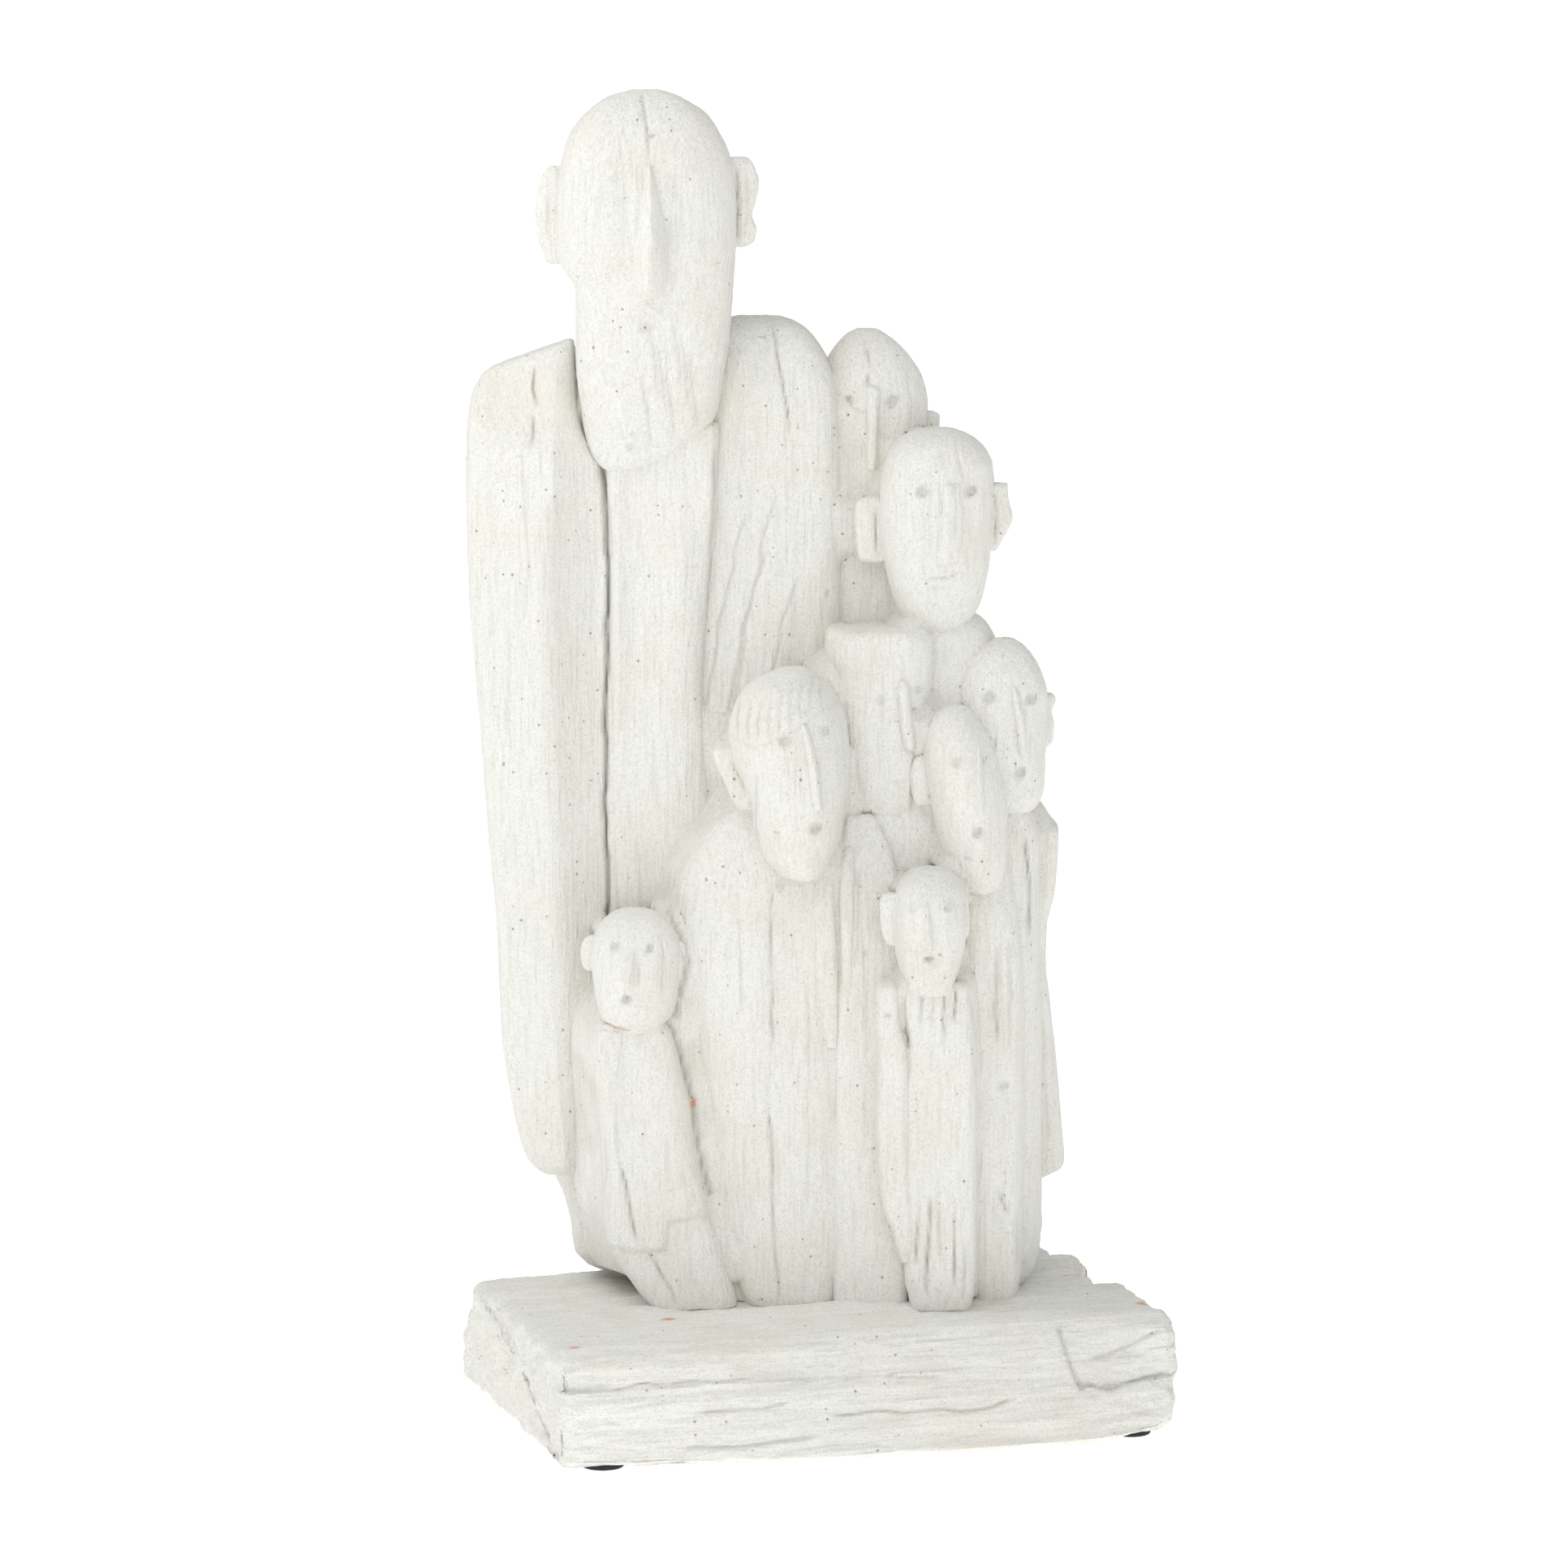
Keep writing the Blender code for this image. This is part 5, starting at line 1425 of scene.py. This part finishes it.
def near_line(points, route, half_width):
    """How near points are to a line through (height, across) places, from 0 to 1"""
    nearest = np.full(len(points), NOTHING)
    for (up_from, across_from), (up_to, across_to) in zip(route, route[1:]):
        run_across, run_up = across_to - across_from, up_to - up_from
        offset_across, offset_up = points[:, 0] - across_from, points[:, 2] - up_from
        along = np.clip(
            (offset_across * run_across + offset_up * run_up) / (run_across ** 2 + run_up ** 2), 0, 1
        )
        distance = np.hypot(offset_across - along * run_across, offset_up - along * run_up)
        nearest = np.minimum(nearest, distance)
    return np.clip(1.4 - nearest / half_width, 0, 1)


# Here the gaps are still open, sunk deeper and painted dark as painted shade: beside the tall head, and
# round the chins in the front row
OPEN_LINES = (
    ((289, -75.0), (277, -74.4), (265, -73.0), (257.5, -70.4), (252.5, -66.4), (251.7, -60), (253, -52)),
    ((294, -26.9), (284.7, -28.4), (272.5, -30.1), (263, -32.8), (259, -36), (255.6, -42.3)),
    ((144.8, 55.0), (139.9, 54.8), (134.1, 53.7), (128.3, 51.6), (125.0, 48.2), (125.6, 45.0)),
    ((137, -18.2), (133.4, -15.4), (131.4, -12.4), (130.4, -8.0)),
    ((147.6, 12.6), (145.6, 16), (145.4, 22), (147.6, 26.6)),
    ((84.6, -46.6), (75.5, -43.2), (60.7, -39.1), (52.4, -38.5), (43.2, -36.6), (34, -34.2)),
    ((118, -46.2), (111, -42.4), (104, -40.6), (96, -42.6), (88, -44.6)),
)
worn = 0.35 * wood_noise(web_places, 6.0, 9.0, 401) + 0.2 * wood_noise(web_places, 2.2, 7.0, 402)
worn += 0.12 * wood_noise(web_places, 1.6, 1.8, 403)
web_open = np.zeros(len(web_places))
for route in OPEN_LINES:
    web_open = np.maximum(web_open, near_line(web_places, route, 0.9))
worn += 1.6 * web_open
web_back = np.maximum(web_front + WEB_THICKNESS, WEB_BACK)
front_sheet = web_places.copy()
front_sheet[:, 1] = np.where(inner.ravel(), web_places[:, 1] + worn, web_back.ravel())
back_sheet = web_places.copy()
back_sheet[:, 1] = web_back.ravel()
# The two sheets share the points round their edge, which closes the web
numbers = np.full(used.size, -1)
numbers[taken.ravel()] = np.arange(taken.sum())
back_numbers = numbers.copy()
back_numbers[inner.ravel()] = taken.sum() + np.arange(inner.sum())
web_columns = used.shape[1]
corners = np.flatnonzero(np.pad(cells, ((0, 1), (0, 1))).ravel())
around = np.stack((corners, corners + 1, corners + web_columns + 1, corners + web_columns), axis=1)
web_points = np.concatenate((front_sheet[taken.ravel()], back_sheet[inner.ravel()]))
web_faces = np.concatenate((numbers[around], back_numbers[around][:, ::-1]))
# The web is painted a little darker all over, unevenly, as painted shade between the figures, and dark
# along the open gaps
web_shade = 0.2 + 0.25 * wood_noise(web_points, 5.0, 6.0, 404)
for route in OPEN_LINES:
    web_shade = np.maximum(web_shade, near_line(web_points, route, 0.8))
web_shade = np.clip(web_shade, 0, 1)
web_blush = np.zeros(len(web_points))
# Salmon resin shows through the coat at both ends of the chin and beside the left child
for spot_across, spot_up, spot_reach in (
    (-71.6, 258.6, 1.3), (-35.4, 259.4, 1.5), (-72.4, 263, 0.7), (-39.2, 61.0, 0.7),
):
    distance = np.hypot(web_points[:, 0] - spot_across, (web_points[:, 2] - spot_up) / 1.6)
    web_blush = np.maximum(web_blush, np.clip(1.6 - distance / spot_reach, 0, 1))
finish_figure(add_mesh("casting_web", in_place(web_points), web_faces, web_shade, web_blush))


# THE PLINTH
# A block like a weathered beam laid flat, cast in the same resin under the same coat.
# Long ledges and cracks run along its front, and its right end is broken at the back.

PLINTH_LENGTH = 191.0
PLINTH_DEPTH = 131.0
PLINTH_LOW = 2.3
PLINTH_HIGH = 35.7
PLINTH_BATTER = 11.0
PLINTH_BOW = 7.0
# The coat has run down into a lip along the lower front edge, which half hides the pads
LIP_DROP = 1.2


def plinth_front(along):
    """Where the foot of the bowed front is, in millimetres, which stands out most right of the middle"""
    share = along / PLINTH_LENGTH + 0.5
    fullest = 0.77
    left_fall = (1 - share / fullest) ** 2
    right_fall = 0.79 * ((share - fullest) / (1 - fullest)) ** 2
    fall = np.where(share < fullest, left_fall, right_fall)
    return -PLINTH_DEPTH / 2 - PLINTH_BOW / 2 + 2 * PLINTH_BOW * fall


def plinth_outline(along, wear, lift):
    """The outline across the plinth at one place along it, from the foot of its front over its top"""
    foot = float(plinth_front(along)) + wear
    brow = -PLINTH_DEPTH / 2 + PLINTH_BATTER + wear
    back = PLINTH_DEPTH / 2 - wear
    back_brow = back - 9.0
    low = PLINTH_LOW + lift
    high = PLINTH_HIGH - wear
    # Each corner, and how many steps lead from it to the next one
    corners = (
        ((foot + 4.2, low), 3),
        ((foot + 1.6, low - LIP_DROP), 3),
        ((foot, low + 0.4), 58),
        ((brow, high - 5.2), 6),
        ((brow + 2.2, high - 2.0), 6),
        ((brow + 7.0, high), 82),
        ((back_brow - 6.0, high), 5),
        ((back_brow - 1.8, high - 1.5), 4),
        ((back_brow, high - 4.2), 14),
        ((back, low + (high - low) * 0.35), 8),
        ((back, low + 1.4), 2),
        ((back - 2.0, low), 30),
    )
    places = []
    for index, (corner, steps) in enumerate(corners):
        after = corners[(index + 1) % len(corners)][0]
        for step in range(steps):
            share = step / steps
            places.append((
                along,
                corner[0] + (after[0] - corner[0]) * share,
                corner[1] + (after[1] - corner[1]) * share,
            ))
    return places


def soft_step(value, middle, width):
    """From 0 to 1 as the value passes the middle"""
    return ease(np.clip((value - middle) / width + 0.5, 0, 1))


half_length = PLINTH_LENGTH / 2
# How far in from an end, how much the outline is worn there and how far its foot is lifted
left_wear = ((0.0, 2.6, 1.2), (0.8, 1.2, 0.2), (2.6, 0.3, 0.0), (8.0, 0.0, 0.0))
right_wear = ((0.0, 3.2, 11.0), (0.8, 1.5, 8.0), (3.0, 0.5, 3.0), (8.0, 0.0, 0.0))
places_along = np.concatenate((
    -half_length + np.array((0, 0.15, 0.4, 0.8, 1.4, 2.0)),
    np.linspace(-half_length + 2.8, half_length - 12, 215),
    np.linspace(half_length - 11.5, half_length, 24),
))
outlines = []
for along in places_along:
    from_left, from_right = along + half_length, half_length - along
    side, inset = (left_wear, from_left) if from_left < from_right else (right_wear, from_right)
    insets = [entry[0] for entry in side]
    wear = float(np.interp(inset, insets, [entry[1] for entry in side]))
    lift = float(np.interp(inset, insets, [entry[2] for entry in side]))
    outlines.append(plinth_outline(along, wear, lift))
outlines = np.array(outlines)
end_steps = np.linspace(1, 0, 22)[1:]
left_centre, right_centre = outlines[0].mean(axis=0), outlines[-1].mean(axis=0)
left_cap = [left_centre + (outlines[0] - left_centre) * share for share in end_steps[::-1]]
right_cap = [right_centre + (outlines[-1] - right_centre) * share for share in end_steps]
grid = np.concatenate((np.array(left_cap), outlines, np.array(right_cap)))
plinth_rows, plinth_columns = grid.shape[:2]

along_face = np.roll(grid, -1, axis=1) - np.roll(grid, 1, axis=1)
along_rows = np.gradient(grid, axis=0)
plinth_normals = np.cross(along_rows, along_face)
plinth_normals /= np.maximum(np.linalg.norm(plinth_normals, axis=2, keepdims=True), 1e-9)
plinth_normals[0] = plinth_normals[1] = (-1, 0, 0)
plinth_normals[-1] = plinth_normals[-2] = (1, 0, 0)
plinth_normals = plinth_normals.reshape(-1, 3)
places = grid.reshape(-1, 3)

# The grain runs along, so the noise that is drawn out upwards elsewhere takes the length for its height
laid = np.stack((places[:, 1], places[:, 2], places[:, 0]), axis=1)
# It has a swell, layers with ledges between them, strands, lumps, waves and grit
swell = wood_noise(laid, 12.0, 55.0, 201)
layers = wood_noise(laid, 4.2, 75.0, 202)
thin_layers = wood_noise(laid, 2.0, 40.0, 203)
strands = wood_noise(laid, 1.3, 18.0, 208)
grit = wood_noise(places, 1.6, 1.8, 204)
ledge_line = np.clip(1 - np.abs(wood_noise(laid, 6.5, 80.0, 205)) / 0.08, 0, 1)
lumps = wood_noise(laid, 5.0, 13.0, 209)
waves = wood_noise(laid, 9.0, 26.0, 210)
plinth_lift = 0.45 * swell + 0.5 * np.tanh(3 * layers) + 0.36 * thin_layers - 0.35 * ledge_line
plinth_lift += 0.2 * strands + 0.45 * lumps + 0.5 * waves + 0.16 * grit
# The long edge between the front and the top is worn in waves
near_brow = np.exp(-((places[:, 1] + PLINTH_DEPTH / 2 - PLINTH_BATTER) / 5.0) ** 2) * (places[:, 2] > 24)
plinth_lift -= near_brow * (0.8 + 1.9 * wood_noise(laid, 30.0, 14.0, 211))
# Painted shade, laid into the cracks of the front below
plinth_shade = np.zeros(len(places))

front_faces = (plinth_normals[:, 1] < -0.6) * 1.0
face_along, face_up = places[:, 0], places[:, 2]
crack_sway = 1.1 * wood_noise(places * (1, 0, 0), 8.0, 8.0, 213)


def plinth_crack(route, width):
    """How much each point has of a crack along the front through (along, up) places"""
    route = np.array(sorted(route), float)
    low, high = route[0, 0], route[-1, 0]
    open_share = np.clip((face_along - low) / 4, 0, 1) * np.clip((high - face_along) / 4, 0, 1)
    middle = np.interp(face_along, route[:, 0], route[:, 1]) + crack_sway
    closeness = np.clip(1 - np.abs(face_up - middle) / (width / 2), 0, 1) ** 0.6
    return closeness * np.sqrt(open_share) * front_faces


for crack_route, crack_width, crack_depth in (
    (((-57, 17), (-46, 17.6), (-35, 17), (-27, 17.8)), 1.3, 1.2),
    (((-15, 13), (-4, 14), (8, 13.6), (20, 14.0), (32, 13.2), (42, 14.2)), 1.2, 1.1),
    (((62, 17.8), (72, 16.6), (84, 17.4), (94, 17.0)), 1.6, 1.6),
    (((-80, 25), (-60, 26), (-38, 25.4)), 1.0, 0.7),
    (((-30, 22.6), (-6, 23.4), (20, 22.8)), 1.0, 0.6),
    (((-60, 7.4), (-40, 7.0), (-20, 7.8)), 1.4, 1.1),
    (((68, 25.4), (78, 27.0), (92, 30.4)), 1.8, 0.9),
):
    amount = plinth_crack(crack_route, crack_width)
    plinth_lift -= amount * crack_depth
    # Each crack is painted darker as painted shade in it
    plinth_shade = np.maximum(plinth_shade, 0.4 * amount)

# One short crack runs up the front to the top, left of the broken end
up_crack = np.interp(face_up, (16, 22, 28, 36), (63.2, 61.4, 60.0, 58.6))
up_crack = up_crack + 0.7 * wood_noise(places * (0, 0, 1), 5.0, 5.0, 212)
up_amount = np.clip(1 - np.abs(face_along - up_crack) / 1.0, 0, 1) ** 0.6 * front_faces * (face_up > 16)
plinth_lift -= 1.5 * up_amount
# Right of that crack the front is broken back a little
plinth_lift -= 0.9 * np.clip((face_along - up_crack) / 1.2, 0, 1) * front_faces * (face_up > 17)
# The crack up the front is painted darker as painted shade in it
plinth_shade = np.maximum(plinth_shade, 0.6 * up_amount)

shaped = places + plinth_normals * plinth_lift[:, None]
# The right end has a shallow notch behind its middle, and its back corner is broken to half its height
ragged = 1.2 * wood_noise(places, 5.0, 5.0, 206)
turned = places[:, 0] - half_length
in_notch = (
    soft_step(turned + 9 + ragged, 0, 1.2)
    * soft_step(places[:, 1] + 8 + 0.1 * turned + ragged, 0, 1.4)
    * soft_step(-(places[:, 1] - 27 + ragged), 0, 1.4)
)
in_break = (
    soft_step(turned + 7 + ragged, 0, 1.2)
    * soft_step(places[:, 1] - 39.5 - 0.17 * turned + ragged, 0, 1.4)
)
rough_floor = 1 + 0.05 * wood_noise(places, 4.0, 4.0, 207)
left_over = 1 - (0.2 * in_notch + 0.5 * in_break) * rough_floor
shaped[:, 2] = PLINTH_LOW + (shaped[:, 2] - PLINTH_LOW) * left_over
shaped[:plinth_columns] = shaped[:plinth_columns].mean(axis=0)
shaped[-plinth_columns:] = shaped[-plinth_columns:].mean(axis=0)

plinth_faces = np.roll(ring_faces(plinth_rows, plinth_columns)[:, ::-1], 1, axis=1)
plinth_blush = np.zeros(len(shaped))
# The coat is worn through in three small places on the top
on_top = shaped[:, 2] > 31
for spot_along, spot_away, spot_reach in ((-53, -19, 1.3), (-89, -46, 0.8), (92, -35, 1.1)):
    distance = np.hypot((shaped[:, 0] - spot_along) / 1.8, shaped[:, 1] - spot_away)
    plinth_blush = np.maximum(plinth_blush, np.clip(1.5 - distance / spot_reach, 0, 1) * on_top)
plinth = add_mesh(
    "weathered_plinth", shaped / 1000, plinth_faces, np.clip(plinth_shade, 0, 1), plinth_blush
)
plinth.data.materials.append(sandy_coat("white_sandy_coat_on_plinth", (ALONG_GRAIN, 1.0, 1.0)))
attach(plinth, "root")
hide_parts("plinth")


# THE PADS
# Four thin round pads of black rubber, punched from sheet, with softened edges.
# They are stuck under the corners of the plinth, where only the front two show.

# Millimetres between the patches of the bloom
BLOOM_SIZE = 2.381


def black_rubber():
    """Matt black rubber with a faint grey bloom of dust"""
    material, tree, shader, place = start_material("black_rubber")
    bloom = add_node(
        tree, "ShaderNodeTexNoise", {"Scale": 1000 / BLOOM_SIZE, "Detail": 4.0}, {"Vector": place}
    ).outputs["Fac"]
    mixed = add_node(
        tree, "ShaderNodeMix", {6: paint("161616"), 7: paint("2C2B29")}, {0: bloom}, data_type="RGBA"
    )
    tree.links.new(mixed.outputs[2], shader.inputs["Base Color"])
    bump = add_node(tree, "ShaderNodeBump", {"Strength": 0.3, "Distance": 0.0002}, {"Height": bloom})
    tree.links.new(bump.outputs["Normal"], shader.inputs["Normal"])
    shader.inputs["Roughness"].default_value = 0.75
    shader.inputs["IOR"].default_value = 1.52
    return material


rubber = black_rubber()
PAD_RADIUS = 6.25
PAD_HEIGHT = 2.0
PAD_ALONG = 81.125
PAD_INSET = 9.5
PAD_SIDES = 48
pad_profile = (
    (0.0, 0.0), (PAD_RADIUS - 0.4, 0.0), (PAD_RADIUS, 0.4),
    (PAD_RADIUS, PAD_HEIGHT - 0.4), (PAD_RADIUS - 0.3, PAD_HEIGHT), (0.0, PAD_HEIGHT),
)
pad_away_left = float(plinth_front(-PAD_ALONG)) + PAD_INSET
pad_away_right = float(plinth_front(PAD_ALONG)) + PAD_INSET
pad_away_back = PLINTH_DEPTH / 2 - PAD_INSET
for pad_name, pad_along, pad_away in (
    ("pad_front_left", -PAD_ALONG, pad_away_left),
    ("pad_front_right", PAD_ALONG, pad_away_right),
    ("pad_back_left", -PAD_ALONG, pad_away_back),
    ("pad_back_right", PAD_ALONG, pad_away_back),
):
    pad_points = []
    for radius, height in pad_profile:
        for turn in np.arange(PAD_SIDES) * math.tau / PAD_SIDES:
            along, away = pad_along + radius * math.cos(turn), pad_away + radius * math.sin(turn)
            pad_points.append((along, away, height))
    pad_faces = ring_faces(len(pad_profile), PAD_SIDES)
    clean = np.zeros(len(pad_points))
    pad = add_mesh("rubber_" + pad_name, np.array(pad_points) / 1000, pad_faces, clean, clean)
    pad.data.materials.append(rubber)
    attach(pad, "root")
    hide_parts(pad_name)


# THE ROOM
# A floor of white paper that runs on without an edge, under a soft white sky.
# A broad lamp stands high at the left, and a weak, wide light fills in from the front.

# Millimetres between the patches of the mottling
MOTTLE_SIZE = 333.333


def floor_paper():
    """White seamless paper: matt, with the faintest mottling"""
    material, tree, shader, place = start_material("white_paper")
    mottle = add_node(
        tree, "ShaderNodeTexNoise", {"Scale": 1000 / MOTTLE_SIZE, "Detail": 2.0}, {"Vector": place}
    ).outputs["Fac"]
    mixed = add_node(
        tree, "ShaderNodeMix", {6: paint("FBFBFA"), 7: paint("FDFDFC")}, {0: mottle}, data_type="RGBA"
    )
    tree.links.new(mixed.outputs[2], shader.inputs["Base Color"])
    shader.inputs["Roughness"].default_value = 1.0
    shader.inputs["Specular IOR Level"].default_value = 0.0
    # The paper is lit from behind a little, as a white sweep is, so that it comes out pure white
    shader.inputs["Emission Color"].default_value = (1.0, 1.0, 1.0, 1.0)
    shader.inputs["Emission Strength"].default_value = 0.6
    return material


FLOOR_REACH = 300.0
floor_mesh = bpy.data.meshes.new("floor")
floor_mesh.from_pydata(
    [
        (-FLOOR_REACH, -FLOOR_REACH, 0), (FLOOR_REACH, -FLOOR_REACH, 0),
        (FLOOR_REACH, FLOOR_REACH, 0), (-FLOOR_REACH, FLOOR_REACH, 0),
    ],
    [],
    [(0, 1, 2, 3)],
)
floor = bpy.data.objects.new("floor", floor_mesh)
bpy.context.scene.collection.objects.link(floor)
floor.data.materials.append(floor_paper())

world = bpy.data.worlds.new("white_studio")
bpy.context.scene.world = world
world.use_nodes = True
sky = world.node_tree.nodes["Background"]
sky.inputs["Color"].default_value = (1.0, 1.0, 1.0, 1.0)
sky.inputs["Strength"].default_value = 0.49

# Where the photograph was taken from, round the object and up
VIEW_AZIMUTH = math.radians(-16.742)
VIEW_ELEVATION = math.radians(7.685)


def direction(azimuth, elevation):
    """The way towards a place round the object, as the camera's angles are counted"""
    return Vector((
        math.sin(azimuth) * math.cos(elevation),
        -math.cos(azimuth) * math.cos(elevation),
        math.sin(elevation),
    ))


KEY_DISTANCE = 0.85
KEY_AIM = Vector((0.0, 0.0, 0.2))
key = bpy.data.lights.new("broad_key", "AREA")
key.energy = 2.6
key.size = 0.75
key_light = bpy.data.objects.new("broad_key", key)
bpy.context.scene.collection.objects.link(key_light)
towards_key = direction(VIEW_AZIMUTH - math.radians(62), math.radians(51))
key_light.location = KEY_AIM + KEY_DISTANCE * towards_key
key_light.rotation_euler = towards_key.to_track_quat("Z", "Y").to_euler()

fill = bpy.data.lights.new("front_fill", "SUN")
fill.energy = 0.5
fill.angle = math.radians(60)
fill_light = bpy.data.objects.new("front_fill", fill)
bpy.context.scene.collection.objects.link(fill_light)
towards_fill = direction(VIEW_AZIMUTH + math.radians(12), math.radians(38))
fill_light.rotation_euler = towards_fill.to_track_quat("Z", "Y").to_euler()


# THE CAMERA
# It stands a little above the statuette and to its left, at the photograph's angle, which was
# worked out from the plinth's pads and corners. It has a long lens.

FOCAL_PIXELS = 7356.17
FRAME_PIXELS = 1932
SENSOR_WIDTH = 36.0
CAMERA_DISTANCE = 1.8
camera_data = bpy.data.cameras.new("camera")
camera_data.sensor_width = SENSOR_WIDTH
camera_data.lens = FOCAL_PIXELS / FRAME_PIXELS * SENSOR_WIDTH
camera = bpy.data.objects.new("camera", camera_data)
bpy.context.scene.collection.objects.link(camera)
aim = Vector((-0.00958475, 0.005, 0.192574))
towards_camera = direction(VIEW_AZIMUTH, VIEW_ELEVATION)
camera.location = aim + towards_camera * CAMERA_DISTANCE
camera.rotation_euler = towards_camera.to_track_quat("Z", "Y").to_euler()
bpy.context.scene.camera = camera
bpy.context.scene.view_settings.view_transform = "Standard"
